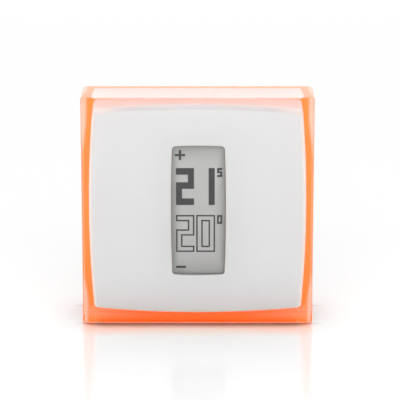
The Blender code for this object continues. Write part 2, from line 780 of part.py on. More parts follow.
def make_switches(tray_pivot, black, white):
    """Two push switches on the board and the plungers that travel in them."""
    back_y = BOARD_FRONT_Y - GAP
    front_y = back_y - SWITCH_HEIGHT
    for place, side in (("top", 1), ("bottom", -1)):
        z = side * SWITCH_Z
        low = (-SWITCH_HALF, front_y, z - SWITCH_HALF)
        high = (SWITCH_HALF, back_y, z + SWITCH_HALF)
        housing = box_piece(f"switch_housing_{place}", low, high, black, tray_pivot)
        bore = ((0, front_y - PAST, z), (0, back_y - GAP, z), PLUNGER_RADIUS + GAP)
        combine(housing, cylinder_tool(f"switch_bore_{place}", [bore], SMALL_ROUND), "DIFFERENCE")
        bm = bmesh.new()
        tip = (0, PLUNGER_TIP_Y, z)
        add_cylinder(bm, tip, (0, PLUNGER_TIP_Y + PLUNGER_LENGTH, z), PLUNGER_RADIUS, segments=SMALL_ROUND)
        add_piece(f"switch_plunger_{place}", bm, white, PIVOTS[f"plunger_{place}"], round_piece=True)


def make_flex_connector(pivot, ivory):
    """The connector that the display's flex tail goes into."""
    mid_y = connector_mid_y()
    half_z = FLEX_HALF_Z + CONNECTOR_END
    slot_half_z = FLEX_HALF_Z + FLEX_SLACK
    low = (CONNECTOR_X, mid_y - CONNECTOR_HALF_Y, -half_z)
    high = (CONNECTOR_X + CONNECTOR_DEPTH, mid_y + CONNECTOR_HALF_Y, half_z)
    connector = box_piece("flex_connector", low, high, ivory, pivot)
    slot = ((CONNECTOR_X - PAST, mid_y - GAP, -slot_half_z),
            (CONNECTOR_X + 3 * CONNECTOR_DEPTH / 4, mid_y + GAP, slot_half_z))
    combine(connector, box_tool("flex_slot", slot), "DIFFERENCE")


def box_on_board(name, extent, seat_y, material, pivot, bevel=0.0):
    """A part given by its low x, high x, low z, high z and height; the seat is the board's back face."""
    low_x, high_x, low_z, high_z, height = extent
    return box_piece(name, (low_x, seat_y, low_z), (high_x, seat_y + height, high_z), material, pivot, bevel)


def make_board_parts(pivot, black, steel, blue, ivory, copper):
    """Chips, radio, relay, capacitor, crystal, aerial and temperature sensor."""
    seat_y = BOARD_BACK_Y + GAP
    box_on_board("processor_chip", PROCESSOR, seat_y, black, pivot)
    box_on_board("radio_chip", RADIO_CHIP, seat_y, black, pivot)
    box_on_board("relay", RELAY, seat_y, ivory, pivot, bevel=RELAY_EDGE)
    box_on_board("temperature_sensor", SENSOR, BOARD_FRONT_Y - GAP - SENSOR[4], black, pivot)
    make_radio_can(pivot, seat_y, steel)

    radius = CAPACITOR_RADIUS
    groove = CAPACITOR_GROOVE
    capacitor_profile = [
        (0.0, CAPACITOR_HEIGHT),
        (radius - groove, CAPACITOR_HEIGHT),
        (radius, CAPACITOR_HEIGHT - groove),
        (radius, CAPACITOR_GROOVE_HEIGHT + groove),
        (radius - groove, CAPACITOR_GROOVE_HEIGHT),
        (radius, CAPACITOR_GROOVE_HEIGHT - groove),
        (radius, 0.0),
        (0.0, 0.0),
    ]
    place = (CAPACITOR_X, seat_y, CAPACITOR_Z)
    turned_piece("storage_capacitor", capacitor_profile, place, (0, 1, 0), blue, pivot, SMALL_ROUND)
    radius = CRYSTAL_RADIUS
    crystal_profile = [
        (0.0, CRYSTAL_LENGTH),
        (radius - CRYSTAL_EDGE, CRYSTAL_LENGTH),
        (radius, CRYSTAL_LENGTH - CRYSTAL_EDGE),
        (radius, CRYSTAL_EDGE),
        (radius - CRYSTAL_EDGE, 0.0),
        (0.0, 0.0),
    ]
    place = (CRYSTAL_X, seat_y + radius, CRYSTAL_Z)
    turned_piece("crystal", crystal_profile, place, (1, 0, 0), steel, pivot, SMALL_ROUND)
    raised_y = seat_y + AERIAL_HEIGHT
    aerial_path = [(AERIAL_LOW_X, seat_y), (AERIAL_LOW_X, raised_y), (AERIAL_HIGH_X, raised_y)]
    strip_piece("aerial", aerial_path, "Z", AERIAL_Z, AERIAL_THICKNESS, copper, pivot)


def make_radio_can(pivot, seat_y, steel):
    """The radio's screening can: a folded box, open towards the board."""
    low_x, high_x, low_z, high_z, height = RADIO_CAN
    bm = bmesh.new()
    add_box(bm, (low_x, seat_y, low_z), (high_x, seat_y + height, high_z))
    open_face = min(bm.faces, key=lambda face: face.calc_center_median().y)
    bmesh.ops.delete(bm, geom=[open_face], context="FACES_ONLY")
    can = add_object("radio_can", make_mesh("radio_can", bm), steel, pivot)
    modifier = can.modifiers.new("sheet", "SOLIDIFY")
    modifier.thickness = RADIO_CAN_SHEET * MM
    modifier.offset = -1.0
    modifier.use_even_offset = True


# ---------------------------------------------------------------- batteries and their contacts


def make_cells(pivot, wrapper):
    """Three AAA cells; the middle one lies the other way round."""
    profile = [
        (0.0, CELL_LENGTH),
        (CELL_TIP_RADIUS, CELL_LENGTH),
        (CELL_TIP_RADIUS, CELL_LENGTH - CELL_TIP),
        (CELL_RADIUS - CELL_EDGE, CELL_LENGTH - CELL_TIP),
        (CELL_RADIUS, CELL_LENGTH - CELL_TIP - CELL_EDGE),
        (CELL_RADIUS, CELL_EDGE),
        (CELL_RADIUS - CELL_EDGE, 0.0),
        (0.0, 0.0),
    ]
    for index, side in enumerate((1, -1, 1)):
        start = (side * (cell_tip_x() - CELL_LENGTH), CELL_Y, cell_z(index))
        turned_piece(f"battery_cell_{index + 1}", profile, start, (side, 0, 0), wrapper, pivot)


def cell_tip_x():
    """Where a cell's positive end stands."""
    return BAY_HALF_X - GAP - CONTACT_THICKNESS - GAP


def make_springs(pivot, steel):
    """A conical coil spring at the negative end of each cell."""
    count = int(SPRING_TURNS * POINTS_PER_TURN)
    for index, side in enumerate((-1, 1, -1)):
        cell_end = side * (CELL_LENGTH - cell_tip_x())
        near_x = cell_end + side * (GAP + SPRING_WIRE)
        far_x = side * (cell_tip_x() - SPRING_WIRE)
        curve = bpy.data.curves.new(f"battery_spring_{index + 1}", "CURVE")
        curve.dimensions = "3D"
        curve.bevel_depth = SPRING_WIRE * MM
        curve.bevel_resolution = 2
        curve.use_fill_caps = True
        spline = curve.splines.new("POLY")
        spline.points.add(count)
        for step in range(count + 1):
            share = step / count
            angle = math.tau * SPRING_TURNS * share
            radius = SPRING_NARROW_RADIUS + (SPRING_WIDE_RADIUS - SPRING_NARROW_RADIUS) * share
            x = near_x + (far_x - near_x) * share
            y = CELL_Y + radius * math.cos(angle)
            z = cell_z(index) + radius * math.sin(angle)
            spline.points[step].co = (x * MM, y * MM, z * MM, 1.0)
        curve.materials.append(steel)
        spring = bpy.data.objects.new(curve.name, curve)
        PARTS.objects.link(spring)
        spring.parent = pivot
        spring.matrix_parent_inverse = Matrix.Translation(-origin_of(pivot))


def make_contacts(pivot, steel):
    """Two end contacts with a tab to the board, and two plates that bridge neighbouring cells."""
    low_y = CELL_Y - CONTACT_HALF
    high_y = CELL_Y + CONTACT_HALF
    inner_x = BAY_HALF_X - GAP - CONTACT_THICKNESS
    outer_x = BAY_HALF_X - GAP
    plates = (
        ("negative_contact", -1, 0, 0, low_tab_z()),
        ("bridge_contact_left", -1, 1, 2, None),
        ("bridge_contact_right", 1, 0, 1, None),
        ("positive_contact", 1, 2, 2, high_tab_z()),
    )
    for name, side, first, last, tab_z in plates:
        low_z = cell_z(first) - CONTACT_HALF
        high_z = cell_z(last) + CONTACT_HALF
        low, high = sided_box(side, inner_x, outer_x, low_y, high_y, low_z, high_z)
        plate = box_piece(name, low, high, steel, pivot)
        if tab_z is not None:
            tab = sided_box(side, inner_x, outer_x, BOARD_BACK_Y + GAP, low_y + PAST,
                            tab_z - TAB_HALF, tab_z + TAB_HALF)
            combine(plate, box_tool(name + "_tab", tab), "UNION")


# ---------------------------------------------------------------- wall plate and terminals


def make_wall_plate(pivot, white):
    """The plate: cable opening, four sunk slots for wall screws and four split posts."""
    inset = SHELL_WALL + PLATE_CLEARANCE
    half_x = SHELL_HALF_X - inset
    half_z = SHELL_HALF_Z - inset
    outline = pillow_outline(half_x, half_z, SHELL_BOW_X, SHELL_BACK_BOW_Z, PLATE_CORNER)
    front_y = -PLATE_THICKNESS
    bm = bmesh.new()
    add_prism(bm, outline, front_y, 0.0)
    plate = add_piece("wall_plate", bm, white, pivot)

    tip_y = SOCKET_BACK_Y - POST_LENGTH
    posts = [((x, front_y + JOIN, z), (x, tip_y, z), POST_RADIUS) for x, z in four_places(POST_X, POST_Z)]
    combine(plate, cylinder_tool("plate_posts", posts, SMALL_ROUND), "UNION")
    slits = []
    for x, z in four_places(POST_X, POST_Z):
        low = (x - POST_SLIT_HALF, tip_y - PAST, z - POST_RADIUS - PAST)
        high = (x + POST_SLIT_HALF, front_y - POST_RADIUS, z + POST_RADIUS + PAST)
        slits.append((low, high))
    combine(plate, box_tool("post_slits", *slits), "DIFFERENCE")

    cable = rounded_rectangle(CABLE_HALF_X, CABLE_HALF_Z, CABLE_CORNER, (TERMINAL_X, CABLE_Z))
    through = [(cable, front_y - PAST, PAST)]
    sunk = []
    reach = SLOT_SPACING / 2
    for x, z in ((reach, 0), (-reach, 0), (0, reach), (0, -reach)):
        half_x, half_z = SLOT_WIDTH / 2, SLOT_LENGTH / 2
        if x == 0:
            half_x, half_z = half_z, half_x
        end_radius = SLOT_WIDTH / 2 - 0.01  # just under half the width, so that no two points fall together
        through.append((rounded_rectangle(half_x, half_z, end_radius, (x, z)), front_y - PAST, PAST))
        outer = rounded_rectangle(half_x + SLOT_SINK, half_z + SLOT_SINK, end_radius + SLOT_SINK, (x, z))
        sunk.append((outer, front_y - PAST, front_y / 2))
    combine(plate, prism_tool("plate_sinks", sunk), "DIFFERENCE")
    combine(plate, prism_tool("plate_openings", through), "DIFFERENCE")


def terminal_x(number):
    """Middle of terminal 1 or 2."""
    return TERMINAL_X + (number - 1.5) * TERMINAL_PITCH


def make_terminal_block(pivot, green):
    """The insulating block of the two terminals."""
    back_y = -PLATE_THICKNESS - GAP
    half = TERMINAL_PITCH
    low = (TERMINAL_X - half, TERMINAL_FRONT_Y, TERMINAL_LOW_Z)
    high = (TERMINAL_X + half, back_y, TERMINAL_HIGH_Z)
    block = box_piece("terminal_block", low, high, green, pivot)
    cells = []
    holes = []
    for number in (1, 2):
        x = terminal_x(number)
        half_x = CAGE_HALF_X + GAP
        roof_y = TERMINAL_FRONT_Y + TERMINAL_CELL_DEPTH
        cells.append(((x - half_x, roof_y, TERMINAL_LOW_Z - PAST),
                      (x + half_x, CAGE_BACK_Y + GAP, TERMINAL_CELL_TOP_Z)))
        start = (x, TERMINAL_FRONT_Y - PAST, TERMINAL_SCREW_Z)
        holes.append((start, (x, roof_y + JOIN, TERMINAL_SCREW_Z), TERMINAL_HOLE_RADIUS))
    combine(block, box_tool("terminal_cells", *cells), "DIFFERENCE")
    combine(block, cylinder_tool("terminal_screw_holes", holes), "DIFFERENCE")


def make_terminals(pivot, steel, brass):
    """Screws that turn in place, cages that rise along them, and leaf contacts to the board."""
    mesh = screw_mesh("terminal_screw", TERMINAL_HEAD_RADIUS, TERMINAL_HEAD, TERMINAL_SHANK_RADIUS,
                      TERMINAL_SCREW_LENGTH, TERMINAL_SCREW_SLOT)
    mesh.materials.clear()
    for number in (1, 2):
        x = terminal_x(number)
        point = (x, TERMINAL_FRONT_Y + TERMINAL_HEAD_SINK, TERMINAL_SCREW_Z)
        place_screw(f"terminal_screw_{number}", mesh, point, steel, PIVOTS[f"terminal_screw_{number}"])

        low = (x - CAGE_HALF_X, CAGE_FRONT_Y, CAGE_Z[0])
        high = (x + CAGE_HALF_X, CAGE_BACK_Y, CAGE_Z[1])
        cage = box_piece(f"clamp_cage_{number}", low, high, brass, PIVOTS[f"clamp_cage_{number}"])
        wire_way = ((x - CAGE_HALF_X + CAGE_WALL, CAGE_FRONT_Y + CAGE_WALL, CAGE_Z[0] - PAST),
                    (x + CAGE_HALF_X - CAGE_WALL, CAGE_BACK_Y - CAGE_WALL, CAGE_Z[1] + PAST))
        combine(cage, box_tool(f"cage_wire_way_{number}", wire_way), "DIFFERENCE")
        thread_end = (x, CAGE_FRONT_Y + CAGE_WALL + JOIN, TERMINAL_SCREW_Z)
        thread = ((x, CAGE_FRONT_Y - PAST, TERMINAL_SCREW_Z), thread_end, TERMINAL_SHANK_RADIUS + GAP / 2)
        combine(cage, cylinder_tool(f"cage_thread_{number}", [thread], SMALL_ROUND), "DIFFERENCE")

        base_y = TERMINAL_FRONT_Y - GAP
        leaf = [
            (base_y, LEAF_FOOT_Z),
            (base_y, LEAF_BEND_Z),
            (base_y - LEAF_BULGE / 2, LEAF_BEND_Z - LEAF_BULGE / 2),
            (base_y - LEAF_BULGE, LEAF_BEND_Z),
            (BOARD_BACK_Y + GAP + LEAF_THICKNESS, LEAF_TIP_Z),
        ]
        span = (x - LEAF_HALF_X, x + LEAF_HALF_X)
        strip_piece(f"terminal_contact_{number}", leaf, "X", span, LEAF_THICKNESS, brass, pivot)


# ---------------------------------------------------------------- build

empty_scene()
PARTS = new_collection("room_thermostat")
TOOLS = new_collection("tools")

PIVOTS = {"wall_plate": add_pivot("wall_plate_pivot", (0, 0, 0))}
PIVOTS["tray"] = add_pivot("tray_slide", (0, 0, 0), PIVOTS["wall_plate"])
PIVOTS["front"] = add_pivot("front_rock_axis", (0, PIVOT_Y, 0), PIVOTS["tray"])
PIVOTS["plunger_top"] = add_pivot("plunger_top_slide", (0, PLUNGER_TIP_Y, SWITCH_Z), PIVOTS["tray"])
PIVOTS["plunger_bottom"] = add_pivot("plunger_bottom_slide", (0, PLUNGER_TIP_Y, -SWITCH_Z), PIVOTS["tray"])
for terminal in (1, 2):
    axis_point = (terminal_x(terminal), TERMINAL_FRONT_Y, TERMINAL_SCREW_Z)
    for node, kind in ((f"terminal_screw_{terminal}", "axis"), (f"clamp_cage_{terminal}", "slide")):
        PIVOTS[node] = add_pivot(f"{node}_{kind}", axis_point, PIVOTS["wall_plate"])

ACRYLIC = make_material("clear_acrylic", (0.95, 0.93, 0.92), 0.03, transmission=1.0)
ORANGE = make_material("orange_film", (0.95, 0.17, 0.03), 0.45)
WHITE = make_material("white_plastic", (0.82, 0.82, 0.82), 0.45)
LIGHT_GREY = make_material("light_grey_plastic", (0.62, 0.63, 0.64), 0.5)
PANEL_GREY = make_material("display_grey", (0.46, 0.47, 0.46), 0.35)
BLACK = make_material("black_plastic", (0.03, 0.03, 0.03), 0.45)
IVORY = make_material("ivory_plastic", (0.72, 0.66, 0.5), 0.5)
AMBER = make_material("amber_film", (0.55, 0.24, 0.04), 0.3)
BOARD_GREEN = make_material("board_green", (0.02, 0.16, 0.07), 0.35)
TERMINAL_GREEN = make_material("terminal_green", (0.04, 0.3, 0.12), 0.45)
STEEL = make_material("bright_steel", (0.6, 0.6, 0.6), 0.3, metallic=1.0)
BRASS = make_material("brass", (0.72, 0.5, 0.2), 0.3, metallic=1.0)
COPPER = make_material("copper", (0.75, 0.38, 0.2), 0.3, metallic=1.0)
CELL_WRAPPER = make_material("cell_wrapper", (0.09, 0.1, 0.12), 0.3)
CAPACITOR_BLUE = make_material("capacitor_sleeve", (0.03, 0.06, 0.2), 0.3)

make_clear_block(PIVOTS["front"], ACRYLIC)
make_colour_sheet(PIVOTS["front"], ORANGE)
make_front_shell(PIVOTS["front"], WHITE)
make_display(PIVOTS["front"], PANEL_GREY, BLACK, AMBER)
make_tray(PIVOTS["tray"], LIGHT_GREY)
make_pivot_pins(PIVOTS["tray"], STEEL)
make_board(PIVOTS["tray"], BOARD_GREEN)
make_board_screws(PIVOTS["tray"], STEEL)
make_switches(PIVOTS["tray"], BLACK, WHITE)
make_flex_connector(PIVOTS["tray"], IVORY)
make_board_parts(PIVOTS["tray"], BLACK, STEEL, CAPACITOR_BLUE, IVORY, COPPER)
make_cells(PIVOTS["tray"], CELL_WRAPPER)
make_springs(PIVOTS["tray"], STEEL)
make_contacts(PIVOTS["tray"], STEEL)
make_wall_plate(PIVOTS["wall_plate"], WHITE)
make_terminal_block(PIVOTS["wall_plate"], TERMINAL_GREEN)
make_terminals(PIVOTS["wall_plate"], STEEL, BRASS)
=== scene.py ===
"""Looks of the room thermostat: fine pieces, materials, floor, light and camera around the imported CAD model.

Frame: metres, +X right, +Y towards the wall, +Z up, as in the CAD model.  Shapes below are worked out in
millimetres and turned into metres by add_piece.  Places come from the CAD nodes' boxes (box_mm).
"""
import json
import math

import bmesh
import bpy
from mathutils import Matrix, Vector


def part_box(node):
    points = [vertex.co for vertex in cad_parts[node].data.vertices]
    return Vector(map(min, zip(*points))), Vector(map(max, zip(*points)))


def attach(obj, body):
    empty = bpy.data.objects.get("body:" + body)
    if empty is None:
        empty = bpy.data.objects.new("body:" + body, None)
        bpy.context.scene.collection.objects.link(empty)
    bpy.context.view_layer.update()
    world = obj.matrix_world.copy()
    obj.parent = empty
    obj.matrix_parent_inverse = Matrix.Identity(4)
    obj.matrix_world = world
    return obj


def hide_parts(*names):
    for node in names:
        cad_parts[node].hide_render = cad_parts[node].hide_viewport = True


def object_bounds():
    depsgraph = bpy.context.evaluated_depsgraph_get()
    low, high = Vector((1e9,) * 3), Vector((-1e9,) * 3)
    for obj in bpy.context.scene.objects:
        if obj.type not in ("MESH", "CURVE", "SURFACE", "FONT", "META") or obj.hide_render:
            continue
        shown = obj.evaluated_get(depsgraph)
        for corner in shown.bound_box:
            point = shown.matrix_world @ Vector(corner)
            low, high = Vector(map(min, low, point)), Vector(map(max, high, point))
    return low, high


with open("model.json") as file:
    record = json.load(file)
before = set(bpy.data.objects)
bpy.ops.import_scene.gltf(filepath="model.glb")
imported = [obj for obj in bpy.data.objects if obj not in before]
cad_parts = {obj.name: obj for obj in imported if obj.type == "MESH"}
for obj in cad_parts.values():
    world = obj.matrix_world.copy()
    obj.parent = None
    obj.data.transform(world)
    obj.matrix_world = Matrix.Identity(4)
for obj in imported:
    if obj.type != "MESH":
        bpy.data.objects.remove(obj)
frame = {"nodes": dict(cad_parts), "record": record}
CAD_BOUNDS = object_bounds()

MM = 0.001
SMOOTH_ANGLE = math.radians(40)
EDGE_WEAR = 0.12  # radius, in millimetres, that materials give to a CAD node's sharp edges
SKIN = 0.01  # step, in millimetres, that keeps two faces from lying in one plane
SINK = 0.1  # how deep a fine shape is sunk into what carries it
BACK = (0, 1, 0)  # direction towards the wall

# Pillow shape of the white shell, straighter at its back, and the block around it
BOW_X = 1.6
BOW_Z = 1.85
BACK_BOW_Z = 0.3
CORNER = 1.5
DROP = 0.35
EDGE = 1.8
FACE_ROUNDING = 1.3  # how much rounder the corners are where the face begins
WALL = 1.3
INNER_EDGE = 0.6
FLARE_STEPS = 14
SIDE_STEPS = 12
CORNER_STEPS = 6
POINTS = 8 * SIDE_STEPS + 4 * CORNER_STEPS
BLOCK_EDGE = 0.35
BLOCK_BACK_EDGE = 0.05
BLOCK_CORNER = 0.6
SHEET_CORNER = 0.5
ROUND_STEPS = 4  # steps in the quarter of a circle that rounds an edge
BESIDE_EDGE = 0.1  # width of the flat strip of faces beside a rounded edge
SHEET_INSET = 0.08
PAINT_DEPTH = 0.05  # how far the block's pocket lies under the shell's surface, so that both look bonded

# Display window
WINDOW_X = 0.3
WINDOW_Z = -0.25
WINDOW_HALF_X = 9.87
WINDOW_HALF_Z = 23.9
WINDOW_BOW_X = 0.45
WINDOW_BOW_Z = 0.3
WINDOW_CORNER = 1.4
WINDOW_RIM = 0.3
WINDOW_SEAT = 1.2  # width of the rim behind the window that the panel lies on
SEAT_GAP = 0.05  # clearance between that rim and the panel
LINER = 0.08
FILM_EDGE = 0.12


# ---- helpers: places, outlines and meshes


def box_mm(node):
    """Lowest and highest corner of a CAD node, in millimetres."""
    low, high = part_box(node)
    return low / MM, high / MM


def centre_mm(node):
    """Centre of a CAD node's box, in millimetres."""
    low, high = box_mm(node)
    return (low + high) / 2


def pillow_outline(half_x, half_z, bow_x=0.0, bow_z=0.0, corner=0.5):
    """(x, z) points of a rectangle with bowed sides and round corners: POINTS of them, from +X upwards."""
    corner_x = half_x - bow_x
    corner_z = half_z - bow_z

    def on_right(z):
        return Vector((half_x - bow_x * (z / corner_z) ** 2, z))

    def on_top(x):
        return Vector((x, half_z - bow_z * (x / corner_x) ** 2))

    start = on_right(corner_z - corner)
    end = on_top(corner_x - corner)
    tip = Vector((corner_x, corner_z))
    quarter = [on_right(start.y * step / SIDE_STEPS) for step in range(SIDE_STEPS)]
    for step in range(CORNER_STEPS + 1):
        t = step / CORNER_STEPS
        quarter.append(start * (1 - t) ** 2 + tip * 2 * t * (1 - t) + end * t ** 2)
    quarter += [on_top(end.x * (1 - step / SIDE_STEPS)) for step in range(1, SIDE_STEPS)]
    points = [(point.x, point.y) for point in quarter]
    points.append((0.0, half_z))
    points += [(-point.x, point.y) for point in reversed(quarter[1:])]
    points.append((-half_x, 0.0))
    points += [(-x, -z) for x, z in points[1:-1]]
    return points


def shell_outline(grow=0.0, bow_z=BOW_Z, corner=CORNER):
    """Outline of the white shell, grown outwards."""
    half = box_mm("front_shell")[1]
    return pillow_outline(half.x + grow, half.z + grow, BOW_X, bow_z, corner)


def face_outline(inset):
    """Outline of the shell's face, inside its round edge."""
    return shell_outline(-inset, corner=CORNER + FACE_ROUNDING)


def window_outline(grow=0.0):
    """Outline of the display window, grown outwards."""
    centred = pillow_outline(WINDOW_HALF_X + grow, WINDOW_HALF_Z + grow, WINDOW_BOW_X, WINDOW_BOW_Z,
                             WINDOW_CORNER + grow)
    return [(WINDOW_X + x, WINDOW_Z + z) for x, z in centred]


def arc(radius, steps, start=0.0, end=math.pi / 2, middle=(0.0, 0.0)):
    """Points of an arc about a middle, both ends included; a quarter of a circle unless told otherwise."""
    angles = [start + (end - start) * step / steps for step in range(steps + 1)]
    return [(middle[0] + radius * math.cos(angle), middle[1] + radius * math.sin(angle)) for angle in angles]


def flat_ring(outline, y):
    """An outline as points of a section at one depth."""
    return [(x, y, z) for x, z in outline]


def mixed_ring(inner, outer, share, y):
    """A section between two outlines, with its depth from a function of x and z."""
    ring = []
    for (x1, z1), (x2, z2) in zip(inner, outer):
        x = x1 + (x2 - x1) * share
        z = z1 + (z2 - z1) * share
        ring.append((x, y(x, z), z))
    return ring


def add_loft(bm, sections, closed=False):
    """A skin through sections of equal point count: capped at both ends, or closed from last to first."""
    rings = [[bm.verts.new(point) for point in section] for section in sections]
    pairs = list(zip(rings, rings[1:]))
    if closed:
        pairs.append((rings[-1], rings[0]))
    count = len(rings[0])
    for near, far in pairs:
        for index in range(count):
            following = (index + 1) % count
            bm.faces.new((near[following], near[index], far[index], far[following]))
    if not closed:
        bm.faces.new(rings[0])
        bm.faces.new(reversed(rings[-1]))


def add_box(bm, low, high):
    """A box between two corners."""
    size = Vector(high) - Vector(low)
    centre = (Vector(high) + Vector(low)) / 2
    place = Matrix.Translation(centre) @ Matrix.Diagonal((*size, 1.0))
    return bmesh.ops.create_cube(bm, size=1.0, matrix=place)["verts"]


def add_round_box(bm, low, high, radius, segments=3):
    """A box whose edges are rounded."""
    verts = add_box(bm, low, high)
    edges = list({edge for vert in verts for edge in vert.link_edges})
    bmesh.ops.bevel(bm, geom=edges, offset=radius, segments=segments, profile=0.5, affect="EDGES")


def add_turned(bm, profile, start, direction, steps=48):
    """A closed shape turned about an axis through start: (radius, height) from one end to the other."""
    turn = Vector(direction).to_track_quat("Z", "Y").to_matrix()
    sections = []
    for radius, height in profile:
        circle = arc(radius, steps, end=math.tau)[:-1]
        sections.append([Vector(start) + turn @ Vector((a, b, height)) for a, b in circle])
    add_loft(bm, sections)


def add_wire(bm, points, radius, across, sides=12):
    """A round wire along a path that never runs along the direction across."""
    points = [Vector(point) for point in points]
    sections = []
    for index, point in enumerate(points):
        along = points[min(index + 1, len(points) - 1)] - points[max(index - 1, 0)]
        first = along.cross(Vector(across)).normalized()
        second = along.cross(first).normalized()
        circle = arc(radius, sides, end=math.tau)[:-1]
        sections.append([point + first * a + second * b for a, b in circle])
    add_loft(bm, sections)


def mesh_object(name, bm, look):
    """An object from a bmesh in millimetres, smooth where its faces meet at a small angle."""
    bmesh.ops.recalc_face_normals(bm, faces=bm.faces)
    bmesh.ops.scale(bm, vec=(MM, MM, MM), verts=bm.verts)
    mesh = bpy.data.meshes.new(name)
    bm.to_mesh(mesh)
    bm.free()
    mesh.shade_smooth()
    mesh.set_sharp_from_angle(angle=SMOOTH_ANGLE)
    mesh.materials.append(look.material)
    piece = bpy.data.objects.new(name, mesh)
    bpy.context.scene.collection.objects.link(piece)
    return piece


def add_piece(name, bm, look, replaces=(), body="tray"):
    """A fine piece that rides on a CAD body, and the CAD nodes that it stands for."""
    piece = mesh_object(name, bm, look)
    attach(piece, body)
    if replaces:
        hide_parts(*replaces)
    return piece


# ---- helpers: materials


class Look:
    """A Principled material and the nodes that lead into its shader."""

    def __init__(self, name, colour, roughness, **settings):
        """Settings are more of the shader's sockets by name, with underscores for spaces."""
        self.material = bpy.data.materials.new(name)
        self.material.use_nodes = True
        self.new_node = self.material.node_tree.nodes.new
        self.link = self.material.node_tree.links.new
        self.sockets = self.material.node_tree.nodes["Principled BSDF"].inputs
        self.sockets["Base Color"].default_value = (*colour, 1.0)
        self.sockets["Roughness"].default_value = roughness
        for socket, value in settings.items():
            self.sockets[socket.replace("_", " ")].default_value = value

    def lead(self, output, socket):
        """Lead a node's output into a socket of the shader."""
        self.link(output, self.sockets[socket])

    def noise(self, scale, detail=3.0, stretch=(1.0, 1.0, 1.0)):
        """A noise texture over the piece; scale is in cells per metre."""
        mapping = self.new_node("ShaderNodeMapping")
        mapping.inputs["Scale"].default_value = stretch
        self.link(self.new_node("ShaderNodeTexCoord").outputs["Object"], mapping.inputs["Vector"])
        texture = self.new_node("ShaderNodeTexNoise")
        texture.inputs["Scale"].default_value = scale
        texture.inputs["Detail"].default_value = detail
        self.link(mapping.outputs["Vector"], texture.inputs["Vector"])
        return texture

    def ramp(self, texture, low, high, socket):
        """Lead a texture's value, spread over two colours or grey values, into a shader socket."""
        spread = self.new_node("ShaderNodeValToRGB")
        spread.color_ramp.elements[0].position = 0.35
        spread.color_ramp.elements[1].position = 0.65
        for element, value in zip(spread.color_ramp.elements, (low, high)):
            element.color = (*value, 1.0) if isinstance(value, tuple) else (value, value, value, 1.0)
        self.link(texture.outputs["Fac"], spread.inputs["Fac"])
        self.lead(spread.outputs["Color"], socket)

    def bump(self, texture, height_mm, edge_mm=EDGE_WEAR):
        """Fine relief from a texture, over edges that are softened by edge_mm."""
        relief = self.new_node("ShaderNodeBump")
        relief.inputs["Distance"].default_value = height_mm * MM
        self.link(texture.outputs["Fac"], relief.inputs["Height"])
        if edge_mm:
            edges = self.new_node("ShaderNodeBevel")
            edges.inputs["Radius"].default_value = edge_mm * MM
            self.link(edges.outputs["Normal"], relief.inputs["Normal"])
        self.lead(relief.outputs["Normal"], "Normal")

    def figure(self, operation, first, second=0.0):
        """A Math node; first and second are numbers or other nodes' outputs."""
        node = self.new_node("ShaderNodeMath")
        node.operation = operation
        for socket, value in zip(node.inputs, (first, second)):
            if isinstance(value, float):
                socket.default_value = value
            else:
                self.link(value, socket)
        return node.outputs[0]

    def product(self, first, second):
        """The product of two nodes' outputs, or of one and a number."""
        return self.figure("MULTIPLY", first, second)

    def separated(self, source):
        """The X, Y and Z parts of a texture coordinate, such as Object (in metres) or Normal."""
        parts = self.new_node("ShaderNodeSeparateXYZ")
        self.link(self.new_node("ShaderNodeTexCoord").outputs[source], parts.inputs["Vector"])
        return parts.outputs

    def distance_off(self, place, middle=0.0):
        """How far a place along one axis, in metres, lies from a middle in millimetres, either way."""
        return self.figure("ABSOLUTE", self.figure("SUBTRACT", self.figure("DIVIDE", place, MM), middle))

    def rise(self, value, start, end):
        """A smooth step from 0 at start to 1 at end."""
        node = self.new_node("ShaderNodeMapRange")
        node.interpolation_type = "SMOOTHSTEP"
        node.inputs["From Min"].default_value = start
        node.inputs["From Max"].default_value = end
        self.link(value, node.inputs["Value"])
        return node.outputs["Result"]

    def covered(self, reach):
        """Share of the sky that pieces hide within a reach in millimetres: 0 in the open, 1 under them."""
        node = self.new_node("ShaderNodeAmbientOcclusion")
        node.inputs["Distance"].default_value = reach * MM
        return self.figure("SUBTRACT", 1.0, node.outputs["AO"])

    def blended(self, share, low, high):
        """A colour between low and high, by a share; each is a colour or another node's output."""
        node = self.new_node("ShaderNodeMix")
        node.data_type = "RGBA"
        for socket, colour in (("A", low), ("B", high)):
            if isinstance(colour, tuple):
                node.inputs[socket].default_value = (*colour, 1.0)
            else:
                self.link(colour, node.inputs[socket])
        self.link(share, node.inputs["Factor"])
        return node.outputs["Result"]


def moulded(name, colour, roughness, grain=2500.0, relief_mm=0.004, **settings):
    """Moulded plastic: a fine matt grain, a faint mottle and an uneven gloss."""
    look = Look(name, colour, roughness, **settings)
    look.ramp(look.noise(60.0), tuple(c * 0.97 for c in colour), colour, "Base Color")
    texture = look.noise(grain)
    look.ramp(texture, roughness * 0.9, roughness * 1.1, "Roughness")
    look.bump(texture, relief_mm)
    return look


def metal(name, colour, roughness):
    """Plated or rolled metal: fine streaks along one way, and slight stains."""
    look = Look(name, colour, roughness, Metallic=1.0)
    streaks = look.noise(400.0, 6.0, (0.15, 3.0, 3.0))
    look.ramp(streaks, roughness * 0.75, roughness * 1.3, "Roughness")
    look.ramp(look.noise(150.0), tuple(c * 0.86 for c in colour), colour, "Base Color")
    look.bump(streaks, 0.002)
    return look


# ---- front: block, sheet, shell


def dome_y(crown_y):
    """Depth of the pillow's face at (x, z): it falls back by DROP towards its sides."""
    half = box_mm("front_shell")[1]

    def depth(x, z):
        return crown_y + DROP * (1 - (1 - (x / half.x) ** 2) * (1 - (z / half.z) ** 2))

    return depth


